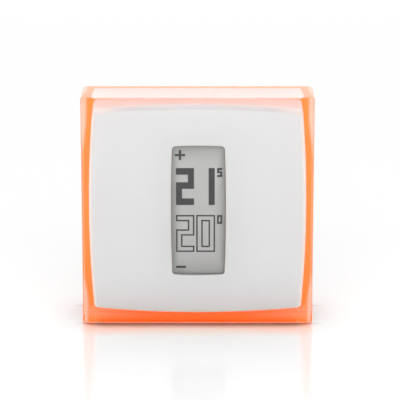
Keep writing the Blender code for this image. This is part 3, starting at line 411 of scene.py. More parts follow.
def edge_rings(grow, crown_y, radius, back_y, steps=8):
    """Sections round the pillow's edge, from its face to its back, which flares out at its corners."""
    side_y = crown_y + DROP + radius
    rings = []
    for across, along in arc(radius, steps):
        inset = radius - along
        outline = shell_outline(grow - inset, corner=CORNER + FACE_ROUNDING * inset / radius)
        rings.append(flat_ring(outline, side_y - across))
    for step in range(1, FLARE_STEPS + 1):
        share = step / FLARE_STEPS
        bow_z = BOW_Z + (BACK_BOW_Z - BOW_Z) * share
        rings.append(flat_ring(shell_outline(grow, bow_z), side_y + (back_y - side_y) * share))
    return rings


def make_clear_block(acrylic):
    """The clear block: sharp polished edges outside, the pillow's pocket inside."""
    low, high = box_mm("clear_block")
    half = high.x

    def square(inset):
        return pillow_outline(half - inset, half - inset, corner=BLOCK_CORNER)

    sections = [flat_ring(square(half / 2), low.y), flat_ring(square(BLOCK_EDGE + BESIDE_EDGE), low.y)]
    for across, along in arc(BLOCK_EDGE, ROUND_STEPS):
        sections.append(flat_ring(square(BLOCK_EDGE - along), low.y + BLOCK_EDGE - across))
    sections.append(flat_ring(square(0.0), low.y + BLOCK_EDGE + BESIDE_EDGE))
    sections.append(flat_ring(square(0.0), high.y - BLOCK_BACK_EDGE))
    sections.append(flat_ring(square(BLOCK_BACK_EDGE), high.y))

    crown_y = box_mm("front_shell")[0].y + PAINT_DEPTH
    sections += reversed(edge_rings(-PAINT_DEPTH, crown_y, EDGE, high.y))
    middle = [(0.0, 0.0)] * POINTS
    face_edge = face_outline(PAINT_DEPTH + EDGE)
    depth = dome_y(crown_y)
    for share in (0.8, 0.6, 0.4, 0.2):
        sections.append(mixed_ring(middle, face_edge, share, depth))
    bm = bmesh.new()
    add_loft(bm, sections)
    add_piece("acrylic_block", bm, acrylic, ["clear_block"], body="front")


def make_colour_sheet(orange):
    """The orange sheet, with its opening round the shell."""
    back_y = box_mm("colour_sheet")[1].y
    block_end = box_mm("clear_block")[1]
    front_y = block_end.y - PAINT_DEPTH
    half = block_end.x - SHEET_INSET
    outer = pillow_outline(half, half, corner=SHEET_CORNER)
    inner = shell_outline(bow_z=BACK_BOW_Z)
    bm = bmesh.new()
    add_loft(bm, [flat_ring(outer, front_y), flat_ring(outer, back_y), flat_ring(inner, back_y),
                  flat_ring(inner, front_y)], closed=True)
    add_piece("orange_sheet", bm, orange, ["colour_sheet"], body="front")


def make_front_shell(white):
    """The white shell: pillow face, rounded rim, filleted window and walls."""
    low, high = box_mm("front_shell")
    seat_y = box_mm("display_panel")[0].y - SEAT_GAP
    depth = dome_y(low.y)
    face_edge = face_outline(EDGE)
    sections = []
    for across, along in arc(WINDOW_RIM, ROUND_STEPS):
        rim = window_outline(WINDOW_RIM - across)
        sections.append([(x, depth(x, z) + WINDOW_RIM - along, z) for x, z in rim])
    for share in (0.02, 0.1, 0.25, 0.4, 0.55, 0.7, 0.82, 0.92):
        sections.append(mixed_ring(window_outline(WINDOW_RIM), face_edge, share, depth))
    sections += edge_rings(0.0, low.y, EDGE, high.y)
    sections += reversed(edge_rings(-WALL, low.y + WALL, INNER_EDGE, high.y, ROUND_STEPS))
    inner_depth = dome_y(low.y + WALL)
    seat = window_outline(WINDOW_SEAT)
    inner_edge = face_outline(WALL + INNER_EDGE)
    for share in (0.7, 0.4, 0.15):
        sections.append(mixed_ring(seat, inner_edge, share, inner_depth))
    sections.append([(x, inner_depth(x, z), z) for x, z in seat])
    sections.append(flat_ring(window_outline(WINDOW_SEAT - BESIDE_EDGE), seat_y))
    sections.append(flat_ring(window_outline(), seat_y))
    bm = bmesh.new()
    add_loft(bm, sections, closed=True)
    add_piece("white_shell", bm, white, ["front_shell"], body="front")


def make_window_liner(dark):
    """A dark lining on the window's wall, down to the panel: a dark sheet put where the window's recess lies
    in shade.
    """
    depth = dome_y(box_mm("front_shell")[0].y)
    back_y = box_mm("display_panel")[0].y - SEAT_GAP - SKIN

    def front(outline):
        return [(x, depth(x, z) + WINDOW_RIM, z) for x, z in outline]

    outer = window_outline(-SKIN)
    inner = window_outline(-LINER)
    bm = bmesh.new()
    sections = [front(outer), flat_ring(outer, back_y), flat_ring(inner, back_y), front(inner)]
    add_loft(bm, sections, closed=True)
    add_piece("window_shade_liner", bm, dark, body="front")


def make_display_film(panel):
    """The panel's front laminate, over the CAD panel's face."""
    low, high = box_mm("display_panel")
    bm = bmesh.new()
    add_round_box(bm, low, high, FILM_EDGE)
    add_piece("epaper_panel", bm, panel, ["display_panel"], body="front")


# ---- display

DIGIT_WIDTH = 6.5
DIGIT_HEIGHT = 13.65
STROKE = 2.2  # width of upright strokes
BAR = 2.45  # width of level strokes
MIDDLE = 0.528  # height of a 2's middle bar, as a share of the whole
DIGITS_LEFT = -7.77
UPPER_DIGITS_Z = 1.51
UPPER_SECOND_X = -0.33
OUTLINED_HEIGHT = 13.76
OUTLINED_TWO_WIDTH = 6.62
OUTLINED_ZERO_WIDTH = 6.79
OUTLINED_STROKE = 2.35
LOWER_DIGITS_Z = -15.94
LOWER_SECOND_X = -0.49
LINE = 0.54
SMALL_X = 7.0
SMALL_WIDTH = 1.83
SMALL_HEIGHT = 3.3
SMALL_STROKE = 0.76
SMALL_LINE = 0.66
SIGN_STROKE = 0.82
PLUS_X = -6.28
PLUS_Z = 19.91
PLUS_HALF = 1.85
MINUS_Z = -21.95
MINUS_WIDTH = 3.55
INK_HEIGHT = 0.03


def digit_two(x, z, width, height, stroke, bar):
    """Outline of a block-shaped 2 with its lower left corner at (x, z)."""
    right = x + width
    top = z + height
    middle = z + height * MIDDLE
    under, over = middle - bar / 2, middle + bar / 2
    inner_left, inner_right = x + stroke, right - stroke
    lower = [(x, z), (right, z), (right, z + bar), (inner_left, z + bar), (inner_left, under), (right, under)]
    upper = [(right, top), (x, top), (x, top - bar), (inner_right, top - bar), (inner_right, over), (x, over)]
    return lower + upper


def mirrored(points, x, width):
    """An outline mirrored within its cell, such as a 2 that becomes a 5."""
    return [(2 * x + width - px, pz) for px, pz in reversed(points)]


def rectangle(x, z, width, height):
    """A rectangle with its lower left corner at (x, z)."""
    return [(x, z), (x + width, z), (x + width, z + height), (x, z + height)]


def add_glyph(bm, outline, surface_y, line=None):
    """A printed shape that stands slightly off the panel: filled, or drawn as a line along its outline."""
    face = bm.faces.new([bm.verts.new((x, surface_y - INK_HEIGHT, z)) for x, z in outline])
    face.normal_update()
    faces = [face]
    if line:
        faces = bmesh.ops.inset_region(bm, faces=[face], thickness=line, use_boundary=True,
                                        use_even_offset=True)["faces"]
        bmesh.ops.delete(bm, geom=[face], context="FACES_ONLY")
    grown = bmesh.ops.extrude_face_region(bm, geom=faces)["geom"]
    verts = [item for item in grown if isinstance(item, bmesh.types.BMVert)]
    bmesh.ops.translate(bm, vec=(0, INK_HEIGHT, 0), verts=verts)


def make_glyphs(ink):
    """The upper temperature, filled; the lower one, in outline; + and -."""
    y = box_mm("display_panel")[0].y
    bm = bmesh.new()
    left = DIGITS_LEFT
    z = UPPER_DIGITS_Z
    add_glyph(bm, digit_two(left, z, DIGIT_WIDTH, DIGIT_HEIGHT, STROKE, BAR), y)
    add_glyph(bm, rectangle(UPPER_SECOND_X + DIGIT_WIDTH - STROKE, z, STROKE, DIGIT_HEIGHT), y)
    small_z = z + DIGIT_HEIGHT - SMALL_HEIGHT
    small_two = digit_two(SMALL_X, small_z, SMALL_WIDTH, SMALL_HEIGHT, SMALL_STROKE, SMALL_STROKE)
    add_glyph(bm, mirrored(small_two, SMALL_X, SMALL_WIDTH), y)

    z = LOWER_DIGITS_Z
    stroke = OUTLINED_STROKE
    add_glyph(bm, digit_two(left, z, OUTLINED_TWO_WIDTH, OUTLINED_HEIGHT, stroke, stroke), y, LINE)
    add_glyph(bm, rectangle(LOWER_SECOND_X, z, OUTLINED_ZERO_WIDTH, OUTLINED_HEIGHT), y, LINE)
    inset = stroke - LINE
    hole_width = OUTLINED_ZERO_WIDTH - 2 * inset
    hole_height = OUTLINED_HEIGHT - 2 * inset
    add_glyph(bm, rectangle(LOWER_SECOND_X + inset, z + inset, hole_width, hole_height), y, LINE)
    small_z = z + OUTLINED_HEIGHT - SMALL_HEIGHT
    add_glyph(bm, rectangle(SMALL_X, small_z, SMALL_WIDTH, SMALL_HEIGHT), y, SMALL_LINE)

    half_stroke = SIGN_STROKE / 2
    add_glyph(bm, rectangle(PLUS_X - PLUS_HALF, PLUS_Z - half_stroke, 2 * PLUS_HALF, SIGN_STROKE), y)
    for low_z in (PLUS_Z - PLUS_HALF, PLUS_Z + half_stroke):
        add_glyph(bm, rectangle(PLUS_X - half_stroke, low_z, SIGN_STROKE, PLUS_HALF - half_stroke), y)
    add_glyph(bm, rectangle(left, MINUS_Z, MINUS_WIDTH, SIGN_STROKE), y)
    add_piece("display_digits", bm, ink, body="front")


# ---- inside the front

EAR_INNER_X = 34.6
EAR_HALF_Y = 3.0
EAR_HALF_Z = 3.5
PLAY = 0.3  # clearance round a pin or plunger
STAKE_X = 14.8
STAKE_Z = 21.0
STAKE_RADIUS = 0.7
STAKE_HEAD_RADIUS = 1.3
STAKE_HEAD = 0.35
PAD_RADIUS = 1.6
PAD_HEIGHT = 0.6
PAD_EDGE = 0.15
STAKE_SUNK = 0.4  # how deep the stakes' heads sit in the frame's back


def add_bored_plate(bm, low, high, axis, centre, radius, steps=48):
    """A plate between two corners with a round hole through it along an axis (0 for X, 1 for Y)."""
    first, second = [index for index in range(3) if index != axis]
    outer, inner = [], []
    for step in range(steps):
        angle = math.tau * (step + 0.5) / steps
        direction = (math.cos(angle), math.sin(angle))
        reaches = []
        for along, index in zip(direction, (first, second)):
            edge = high[index] if along > 0 else low[index]
            reaches.append((edge - centre[index]) / along)
        for ring, reach in ((outer, min(reaches)), (inner, radius)):
            ring.append((centre[first] + direction[0] * reach, centre[second] + direction[1] * reach))

    def section(ring, depth):
        points = []
        for a, b in ring:
            point = [depth, depth, depth]
            point[first], point[second] = a, b
            points.append(point)
        return points

    add_loft(bm, [section(outer, low[axis]), section(outer, high[axis]), section(inner, high[axis]),
                  section(inner, low[axis])], closed=True)


def rounded_pin(radius, height, edge):
    """Profile of a pin whose far end has a rounded edge."""
    return [
        (radius, 0.0),
        (radius, height - edge),
        (radius - edge * 0.3, height - edge * 0.3),
        (radius - edge, height),
        (radius * 0.2, height),
    ]


def make_shell_fittings(white):
    """The shell's pivot ears, switch pads, and the stakes whose melted heads hold the display's frame."""
    shell_low, shell_high = box_mm("front_shell")
    pin_low, pin_high = box_mm("pivot_pin_right")
    pin_y = centre_mm("pivot_pin_right").y
    bore = (pin_high.z - pin_low.z) / 2 + PLAY
    outer_x = shell_high.x - WALL / 2
    bm = bmesh.new()
    for side in (-1, 1):
        low_x, high_x = sorted((side * EAR_INNER_X, side * outer_x))
        low = (low_x, pin_y - EAR_HALF_Y, -EAR_HALF_Z)
        high = (high_x, pin_y + EAR_HALF_Y, EAR_HALF_Z)
        add_bored_plate(bm, low, high, 0, (0.0, pin_y, 0.0), bore)
    inside_y = shell_low.y + WALL
    switch_z = centre_mm("switch_plunger_top").z
    for side in (-1, 1):
        place = (0, inside_y - SINK, side * switch_z)
        add_turned(bm, rounded_pin(PAD_RADIUS, PAD_HEIGHT + SINK, PAD_EDGE), place, BACK)
    root_y = inside_y - 2 * SINK
    length = box_mm("display_frame")[1].y - STAKE_SUNK - root_y
    head = STAKE_HEAD_RADIUS
    profile = [
        (STAKE_RADIUS, 0.0),
        (STAKE_RADIUS, length),
        (head * 0.92, length),
        (head, length + 0.08),
        (head * 0.9, length + STAKE_HEAD * 0.6),
        (head * 0.6, length + STAKE_HEAD * 0.9),
        (head * 0.1, length + STAKE_HEAD),
    ]
    for side_x in (-1, 1):
        for side_z in (-1, 1):
            add_turned(bm, profile, (side_x * STAKE_X, root_y, side_z * STAKE_Z), BACK, 24)
    add_piece("shell_fittings", bm, white, body="front")


# ---- board

TRACK_HEIGHT = 0.03
SIGNAL = 0.28
POWER = 1.1
SILK = 0.16
SILK_MARGIN = 0.45
SOLDER_RADIUS = 0.35
CHIP_HALF = (0.62, 0.4)  # half length and half width of a chip resistor without its metal ends
CHIP_END_HALF = (0.16, 0.42)
CHIP_END = 0.65  # from a chip's middle to the middle of its end
CHIP_TOP = 0.5
LEG_REACH = 0.75
LEG_PITCH = 0.55
LEG_HALF_WIDTH = 0.11
LEG_HALF_THICKNESS = 0.05
LEG_SHOULDER = 0.42  # height at which the legs leave the package
LEGS_BESIDE = 4  # legs on either side of the middle one, on each of the four sides
PACKAGE_EDGE = 0.12
MARK_INSET = 0.9
CAN_EDGE = 0.22
SNAP_INSET = 1.6
SNAPS = 5
HOLE_SPACING = (2.0, 3.0)
HOLES = (6, 3)
RELAY_EDGE = 0.45
RELAY_BASE = 0.8
RELAY_VENT_INSET = 1.6
SLEEVE_LIP = 0.12
STRIPE_ANGLE = math.radians(24)
VENT_GAP = 0.12
CRYSTAL_LEAD = 0.13
CRYSTAL_LEAD_Z = 0.45
COVER_MARGIN = 0.05
COVER_LEG_Z = 1.3
COVER_LEG_HALF = (0.08, 0.4)
CONTACT_PITCH = 0.5
CONTACTS = 19
LATCH = 0.9  # depth of the connector's latch bar


def add_track(bm, points, width, low_y, high_y):
    """A flat track of constant width along (x, z) points."""
    for (x1, z1), (x2, z2) in zip(points, points[1:]):
        start, end = Vector((x1, z1)), Vector((x2, z2))
        along = (end - start).normalized() * width / 2
        side = Vector((-along.y, along.x))
        corners = (start - along + side, start - along - side, end + along - side, end + along + side)
        add_loft(bm, [flat_ring(corners, low_y), flat_ring(corners, high_y)])


def board_routes():
    """The tracks on the board's back: (points, width)."""
    routes = [
        ([(-17.1, 22.0), (-17.1, 23.6), (-12.5, 23.6), (-9.5, 17.2), (5.0, 17.2), (9.5, 19.2)], POWER),
        ([(-10.9, 22.0), (-10.9, 21.2), (-8.6, 18.9), (-6.0, 18.9)], POWER),
        ([(10.0, 8.0), (13.5, 8.0), (16.0, 9.6)], POWER),
        ([(20.5, 12.5), (20.5, 18.0)], POWER),
    ]
    for lane in range(5):
        x = -1.8 + lane * 0.7
        routes.append(([(x, 20.0), (x, 19.4), (x + 3.4, 16.0)], SIGNAL))
    for lane in range(4):
        z = 21.6 + lane * 1.3
        routes.append(([(4.0, z), (5.2, z), (6.4, z - 0.9), (8.0, z - 0.9)], SIGNAL))
    for lane in range(6):
        z = 21.0 + lane * 0.9
        x = -6.6 - lane * 0.4
        routes.append(([(-3.0, z), (x + 1.6, z), (x, z + 1.6), (x, 29.0)], SIGNAL))
    for lane in range(5):
        x = -1.6 + lane * 0.9
        z = 28.2 + lane * 0.4
        routes.append(([(x, 27.0), (x, z), (x + 12.0, z)], SIGNAL))
    return routes


def make_board_details(track, solder, silk):
    """Tracks under the mask, solder and printed outlines on the board's back."""
    seat_y = box_mm("main_board")[1].y
    bm = bmesh.new()
    for points, width in board_routes():
        add_track(bm, points, width, seat_y - SKIN, seat_y + TRACK_HEIGHT)
    add_piece("board_tracks", bm, track)

    bm = bmesh.new()
    for points, width in board_routes():
        radius = max(width * 0.75, SOLDER_RADIUS)
        profile = [(radius, 0.0), (radius * 0.9, 0.05), (radius * 0.35, 0.09), (radius * 0.1, 0.04)]
        for x, z in (points[0], points[-1]):
            add_turned(bm, profile, (x, seat_y, z), BACK, 16)
    add_piece("board_solder", bm, solder)

    outlines = []
    for node in ("processor_chip", "radio_can", "relay"):
        low, high = box_mm(node)
        x1, x2 = low.x - SILK_MARGIN, high.x + SILK_MARGIN
        z1, z2 = low.z - SILK_MARGIN, high.z + SILK_MARGIN
        outlines.append([(x1, z1), (x2, z1), (x2, z2), (x1, z2), (x1, z1)])
    low, high = box_mm("storage_capacitor")
    centre = (low + high) / 2
    radius = (high.x - low.x) / 2 + SILK_MARGIN
    outlines.append(arc(radius, 32, end=math.tau, middle=(centre.x, centre.z)))
    bm = bmesh.new()
    for outline in outlines:
        add_track(bm, outline, SILK, seat_y, seat_y + TRACK_HEIGHT + SKIN)
    add_piece("board_outlines", bm, silk)


def make_passives(ceramic, solder):
    """Small chip resistors and capacitors on the board's back, at (x, z, turned upright)."""
    seat_y = box_mm("main_board")[1].y
    places = ((6.2, 27.6, 0), (-5.4, 20.4, 1), (-7.6, 8.6, 1), (-7.6, 11.4, 1), (12.6, 6.0, 0),
              (12.6, 15.2, 0), (13.6, 12.0, 1), (-20.6, 8.0, 1), (-6.4, 5.8, 0), (24.6, 20.5, 1),
              (24.6, 24.0, 1))

    def add_block(bm, x, z, half, base, top, edge):
        low = (x - half[0], seat_y + base, z - half[1])
        add_round_box(bm, low, (x + half[0], seat_y + top, z + half[1]), edge)

    bodies = bmesh.new()
    ends = bmesh.new()
    for x, z, upright in places:
        order = -1 if upright else 1
        add_block(bodies, x, z, CHIP_HALF[::order], 0.03, CHIP_TOP, 0.05)
        for side in (-1, 1):
            off_x, off_z = (side * CHIP_END, 0.0)[::order]
            add_block(ends, x + off_x, z + off_z, CHIP_END_HALF[::order], SKIN, CHIP_TOP + 0.02, 0.07)
    add_piece("passive_bodies", bodies, ceramic)
    add_piece("passive_ends", ends, solder)


def make_processor(black, solder):
    """The processor's moulded package with its bent legs."""
    low, high = box_mm("processor_chip")
    edge = Vector((LEG_REACH, 0, LEG_REACH))
    package_low = low + edge
    package_low.y -= 0.15
    package_high = high - edge
    bm = bmesh.new()
    add_round_box(bm, package_low, package_high, PACKAGE_EDGE)
    mark = (package_low.x + MARK_INSET, high.y, package_high.z - MARK_INSET)
    add_turned(bm, [(0.42, -0.02), (0.42, 0.02), (0.3, 0.03), (0.05, 0.03)], mark, BACK, 24)
    add_piece("processor_package", bm, black, ["processor_chip"])
    middle = (low + high) / 2
    half = (high.x - low.x) / 2
    foot_y = box_mm("main_board")[1].y + 0.08
    bends = [(half - LEG_REACH, LEG_SHOULDER), (half - 0.5, LEG_SHOULDER), (half - 0.32, 0.0), (half, 0.0)]
    wide, thick = LEG_HALF_WIDTH, LEG_HALF_THICKNESS
    bm = bmesh.new()
    for turn in range(4):
        out = Vector((math.cos(math.pi / 2 * turn), math.sin(math.pi / 2 * turn)))
        side = Vector((-out.y, out.x))
        for leg in range(-LEGS_BESIDE, LEGS_BESIDE + 1):
            sections = []
            for reach, height in bends:
                section = []
                for across, up in ((-wide, -thick), (wide, -thick), (wide, thick), (-wide, thick)):
                    point = out * reach + side * (leg * LEG_PITCH + across)
                    section.append((middle.x + point.x, foot_y + height + up, middle.z + point.y))
                sections.append(section)
            add_loft(bm, sections)
    add_piece("processor_legs", bm, solder)


def make_radio_can(steel, dark):
    """The folded screening can and its snaps, with rows of black discs for its holes: painted shade where the
    holes look dark.
    """
    low, high = box_mm("radio_can")
    middle_y = (low.y + high.y) / 2
    spacing = (high.x - low.x - 2 * SNAP_INSET) / (SNAPS - 1)
    bm = bmesh.new()
    add_round_box(bm, low, high, CAN_EDGE)
    for side, z in ((-1, low.z - 0.03), (1, high.z + 0.03)):
        for step in range(SNAPS):
            x = low.x + SNAP_INSET + step * spacing
            add_turned(bm, [(0.3, -0.06), (0.24, 0.02), (0.05, 0.05)], (x, middle_y, z), (0, 0, side), 12)
    add_piece("screening_can", bm, steel, ["radio_can"])
    # Black discs instead of cut holes: painted shade.
    bm = bmesh.new()
    for row in range(HOLES[1]):
        for column in range(HOLES[0]):
            x = low.x + (column + 1) * HOLE_SPACING[0]
            z = low.z + 2.5 + row * HOLE_SPACING[1]
            add_turned(bm, [(0.38, 0.0), (0.36, 0.015), (0.05, 0.016)], (x, high.y - SKIN, z), BACK, 16)
    add_piece("can_hole_shade_discs", bm, dark)


def make_relay(case, dark):
    """The relay: a case with a vent nub on a base plate."""
    low, high = box_mm("relay")
    base_y = low.y + RELAY_BASE
    bm = bmesh.new()
    add_round_box(bm, (low.x, base_y, low.z), high, RELAY_EDGE)
    vent = (high.x - RELAY_VENT_INSET, high.y - 0.2, high.z - RELAY_VENT_INSET)
    add_turned(bm, [(0.7, -0.1), (0.7, 0.12), (0.5, 0.2), (0.1, 0.2)], vent, BACK, 24)
    add_piece("relay_case", bm, case, ["relay"])
    inset = 0.25
    bm = bmesh.new()
    base_high = (high.x - inset, base_y + SINK, high.z - inset)
    add_round_box(bm, (low.x + inset, low.y, low.z + inset), base_high, 0.1)
    add_piece("relay_base", bm, dark)


def make_capacitor(sleeve, stripe, steel):
    """The capacitor: a shrink sleeve with a polarity stripe, and a scored metal top."""
    low, high = box_mm("storage_capacitor")
    centre = (low + high) / 2
    radius = (high.x - low.x) / 2
    height = high.y - low.y
    bm = bmesh.new()
    profile = [
        (radius - 0.35, 0.0),
        (radius, 0.25),
        (radius, 0.8),
        (radius - 0.25, 1.1),
        (radius, 1.4),
        (radius, height - 0.35),
        (radius - SLEEVE_LIP, height - 0.1),
        (radius - 0.4, height),
        (radius - 0.7, height - 0.04),
    ]
    add_turned(bm, profile, (centre.x, low.y, centre.z), BACK)
    add_piece("capacitor_case", bm, sleeve, ["storage_capacitor"])

    middle = (centre.x, centre.z)
    first = math.pi - STRIPE_ANGLE
    last = math.pi + STRIPE_ANGLE
    outline = arc(radius + 0.015, 8, first, last, middle) + arc(radius - 0.1, 8, last, first, middle)
    bm = bmesh.new()
    add_loft(bm, [flat_ring(outline, low.y + 1.5), flat_ring(outline, high.y - 0.4)])
    add_piece("capacitor_stripe", bm, stripe)

    reach = radius - 0.75
    side = math.asin(VENT_GAP / reach)
    bm = bmesh.new()
    for quarter in range(4):
        start = math.pi / 2 * quarter
        tip = Matrix.Rotation(start, 2) @ Vector((VENT_GAP, VENT_GAP))
        outline = [(centre.x + tip.x, centre.z + tip.y)]
        outline += arc(reach, 8, start + side, start + math.pi / 2 - side, middle)
        add_loft(bm, [flat_ring(outline, high.y - SLEEVE_LIP), flat_ring(outline, high.y - SKIN)])
    add_piece("capacitor_vent", bm, steel)


def make_crystal(steel):
    """The crystal's can with its flange and two bent leads."""
    low, high = box_mm("crystal")
    radius = (high.z - low.z) / 2
    length = high.x - low.x
    y = (low.y + high.y) / 2
    z = (low.z + high.z) / 2
    bm = bmesh.new()
    profile = [(radius, 0.0), (radius, 0.25), (radius - 0.15, 0.3), (radius - 0.15, length - 0.4),
               (radius - 0.4, length - 0.05), (0.2, length)]
    add_turned(bm, profile, (low.x, y, z), (1, 0, 0), 32)
    board_y = box_mm("main_board")[1].y
    foot_x = low.x - 0.8
    for lead_z in (z - CRYSTAL_LEAD_Z, z + CRYSTAL_LEAD_Z):
        path = [(low.x + 0.1, y, lead_z), (foot_x + 0.3, y, lead_z), (foot_x, y - 0.3, lead_z),
                (foot_x, board_y, lead_z)]
        add_wire(bm, path, CRYSTAL_LEAD, (0, 0, 1), 8)
    add_piece("crystal_can", bm, steel, ["crystal"])


def make_switch_details(steel, cap):
    """Metal covers over the two switches, and domed plungers in them."""
    for place in ("top", "bottom"):
        low, high = box_mm(f"switch_housing_{place}")
        plunger_low, plunger_high = box_mm(f"switch_plunger_{place}")
        centre = (plunger_low + plunger_high) / 2
        radius = (plunger_high.x - plunger_low.x) / 2
        left, right = low.x - COVER_MARGIN, high.x + COVER_MARGIN
        bm = bmesh.new()
        cover_low = (left, low.y - 0.08, low.z - COVER_MARGIN)
        cover_high = (right, low.y + 0.04, high.z + COVER_MARGIN)
        add_bored_plate(bm, cover_low, cover_high, 1, centre, radius + PLAY)
        thick, wide = COVER_LEG_HALF
        for x in (left, right):
            for z in (centre.z - COVER_LEG_Z, centre.z + COVER_LEG_Z):
                leg_low = (x - thick, low.y, z - wide)
                add_round_box(bm, leg_low, (x + thick, high.y + 0.25, z + wide), thick / 2)
        add_piece(f"switch_cover_{place}", bm, steel)
        length = plunger_high.y - plunger_low.y
        dome = ((1, 0.0), (1, 0.6), (0.93, 0.8), (0.75, 0.93), (0.4, 1), (0.05, 1))
        profile = [(radius * out, length * along) for out, along in dome]
        bm = bmesh.new()
        add_turned(bm, profile, (centre.x, plunger_high.y, centre.z), (0, -1, 0), 32)
        add_piece(f"plunger_cap_{place}", bm, cap, [f"switch_plunger_{place}"],
                  f"plunger_{place}")


def make_connector_details(black, gold):
    """The flex connector's latch bar and its row of contacts."""
    low, high = box_mm("flex_connector")
    bm = bmesh.new()
    latch_low = (high.x - COVER_MARGIN - LATCH, low.y - 0.12, low.z + 0.15)
    add_round_box(bm, latch_low, (high.x - COVER_MARGIN, low.y + 0.35, high.z - 0.15), 0.12)
    add_piece("connector_latch", bm, black)
    bm = bmesh.new()
    for contact in range(CONTACTS):
        z = low.z + 2.0 + contact * CONTACT_PITCH
        contact_low = (high.x - 0.1, high.y - 0.02, z - 0.1)
        add_round_box(bm, contact_low, (high.x + 0.7, high.y + 0.2, z + 0.1), 0.04, 1)
    add_piece("connector_contacts", bm, gold)


# ---- batteries

WRAPPER_CURL = 0.45
COLLAR_LENGTH = 9.0
CELL_TIP = 0.8  # height of the metal tip at the positive end
CELL_FACE = 0.9  # how much smaller in radius the cell's metal ends are
SPRING_WIRE = 0.3
SPRING_TURNS = 2.5
SPRING_NARROW = 1.8
SPRING_WIDE = 3.6
COIL_POINTS = 28


def make_cells(wrapper, collar, steel):
    """Each cell: a printed wrapper curled over both ends, a contrasting collar, and metal ends."""
    for number, side in ((1, 1), (2, -1), (3, 1)):
        low, high = box_mm(f"battery_cell_{number}")
        centre = (low + high) / 2
        radius = (high.z - low.z) / 2
        length = high.x - low.x
        shoulder = length - CELL_TIP
        seam = shoulder - COLLAR_LENGTH
        face = radius - CELL_FACE
        start = (low.x if side > 0 else high.x, centre.y, centre.z)
        wrapper_profile = [(radius - 1.0, 0.12), (radius - WRAPPER_CURL, 0.02), (radius - 0.12, 0.12),
                           (radius, WRAPPER_CURL), (radius, seam)]
        collar_profile = [(radius, seam), (radius, shoulder - WRAPPER_CURL), (radius - 0.12, shoulder - 0.12),
                          (radius - WRAPPER_CURL, shoulder - 0.02), (radius - 1.1, shoulder - 0.1)]
        negative = [(0.3, 0.25), (face - 0.7, 0.22), (face - 0.5, 0.08), (face, 0.1), (face, 0.6)]
        positive = [(face, shoulder - 0.6), (face - 0.05, shoulder - 0.16), (2.3, shoulder - 0.12),
                    (1.95, shoulder), (1.9, length - 0.2), (1.7, length), (0.2, length)]
        for name, profiles, look, slot, replaced in (
                ("cell_wrapper", [wrapper_profile], wrapper, "cell_wrapper", [f"battery_cell_{number}"]),
                ("cell_collar", [collar_profile], collar, "copper", []),
                ("cell_ends", [negative, positive], steel, "bright_steel", [])):
            bm = bmesh.new()
            for profile in profiles:
                add_turned(bm, profile, start, (side, 0, 0), 64)
            add_piece(f"{name}_{number}", bm, look, replaced)


def make_springs(steel):
    """Conical coil springs at the cells' negative ends."""
    for number, side in ((1, -1), (2, 1), (3, -1)):
        low, high = box_mm(f"battery_spring_{number}")
        centre = centre_mm(f"battery_cell_{number}")
        near_x, far_x = (low.x, high.x) if side > 0 else (high.x, low.x)
        near_x += side * SPRING_WIRE
        far_x -= side * SPRING_WIRE
        points = []
        count = int(COIL_POINTS * SPRING_TURNS)
        for step in range(count + 1):
            share = step / count
            angle = math.tau * SPRING_TURNS * share
            radius = SPRING_NARROW + (SPRING_WIDE - SPRING_NARROW) * share
            points.append((near_x + (far_x - near_x) * share, centre.y + radius * math.cos(angle),
                           centre.z + radius * math.sin(angle)))
        bm = bmesh.new()
        add_wire(bm, points, SPRING_WIRE, (1, 0, 0))
        add_piece(f"coil_spring_{number}", bm, steel, [f"battery_spring_{number}"])


def make_contact_buttons(steel):
    """The pressed buttons that the cells' positive ends touch."""
    bm = bmesh.new()
    for number, side, plate in ((1, 1, "bridge_contact_right"), (2, -1, "bridge_contact_left"),
                                (3, 1, "positive_contact")):
        centre = centre_mm(f"battery_cell_{number}")
        plate_low, plate_high = box_mm(plate)
        face_x = plate_low.x if side > 0 else plate_high.x
        add_turned(bm, [(2.4, -0.05), (2.2, 0.06), (1.7, 0.15), (0.9, 0.2), (0.1, 0.21)],
                   (face_x, centre.y, centre.z), (-side, 0, 0), 32)
    add_piece("contact_buttons", bm, steel)


# ---- terminals


THREAD_RADIUS = 1.08
THREAD_WIRE = 0.09
THREAD_PITCH = 0.5
THREAD_TURNS = 6
THREAD_STEPS = 16
THREAD_END = 0.35  # plain tip of the shank


def make_screw_threads(steel):
    """Threads on the shanks of the two terminal screws."""
    for number in (1, 2):
        node = f"terminal_screw_{number}"
        centre = centre_mm(node)
        tip_y = box_mm(node)[1].y - THREAD_END
        points = []
        for step in range(THREAD_TURNS * THREAD_STEPS + 1):
            turns = step / THREAD_STEPS
            x = centre.x + THREAD_RADIUS * math.cos(math.tau * turns)
            z = centre.z + THREAD_RADIUS * math.sin(math.tau * turns)
            points.append((x, tip_y - THREAD_PITCH * turns, z))
        bm = bmesh.new()
        add_wire(bm, points, THREAD_WIRE, BACK, 6)
        add_piece(f"screw_thread_{number}", bm, steel, body=f"screw_{number}")


# ---- materials


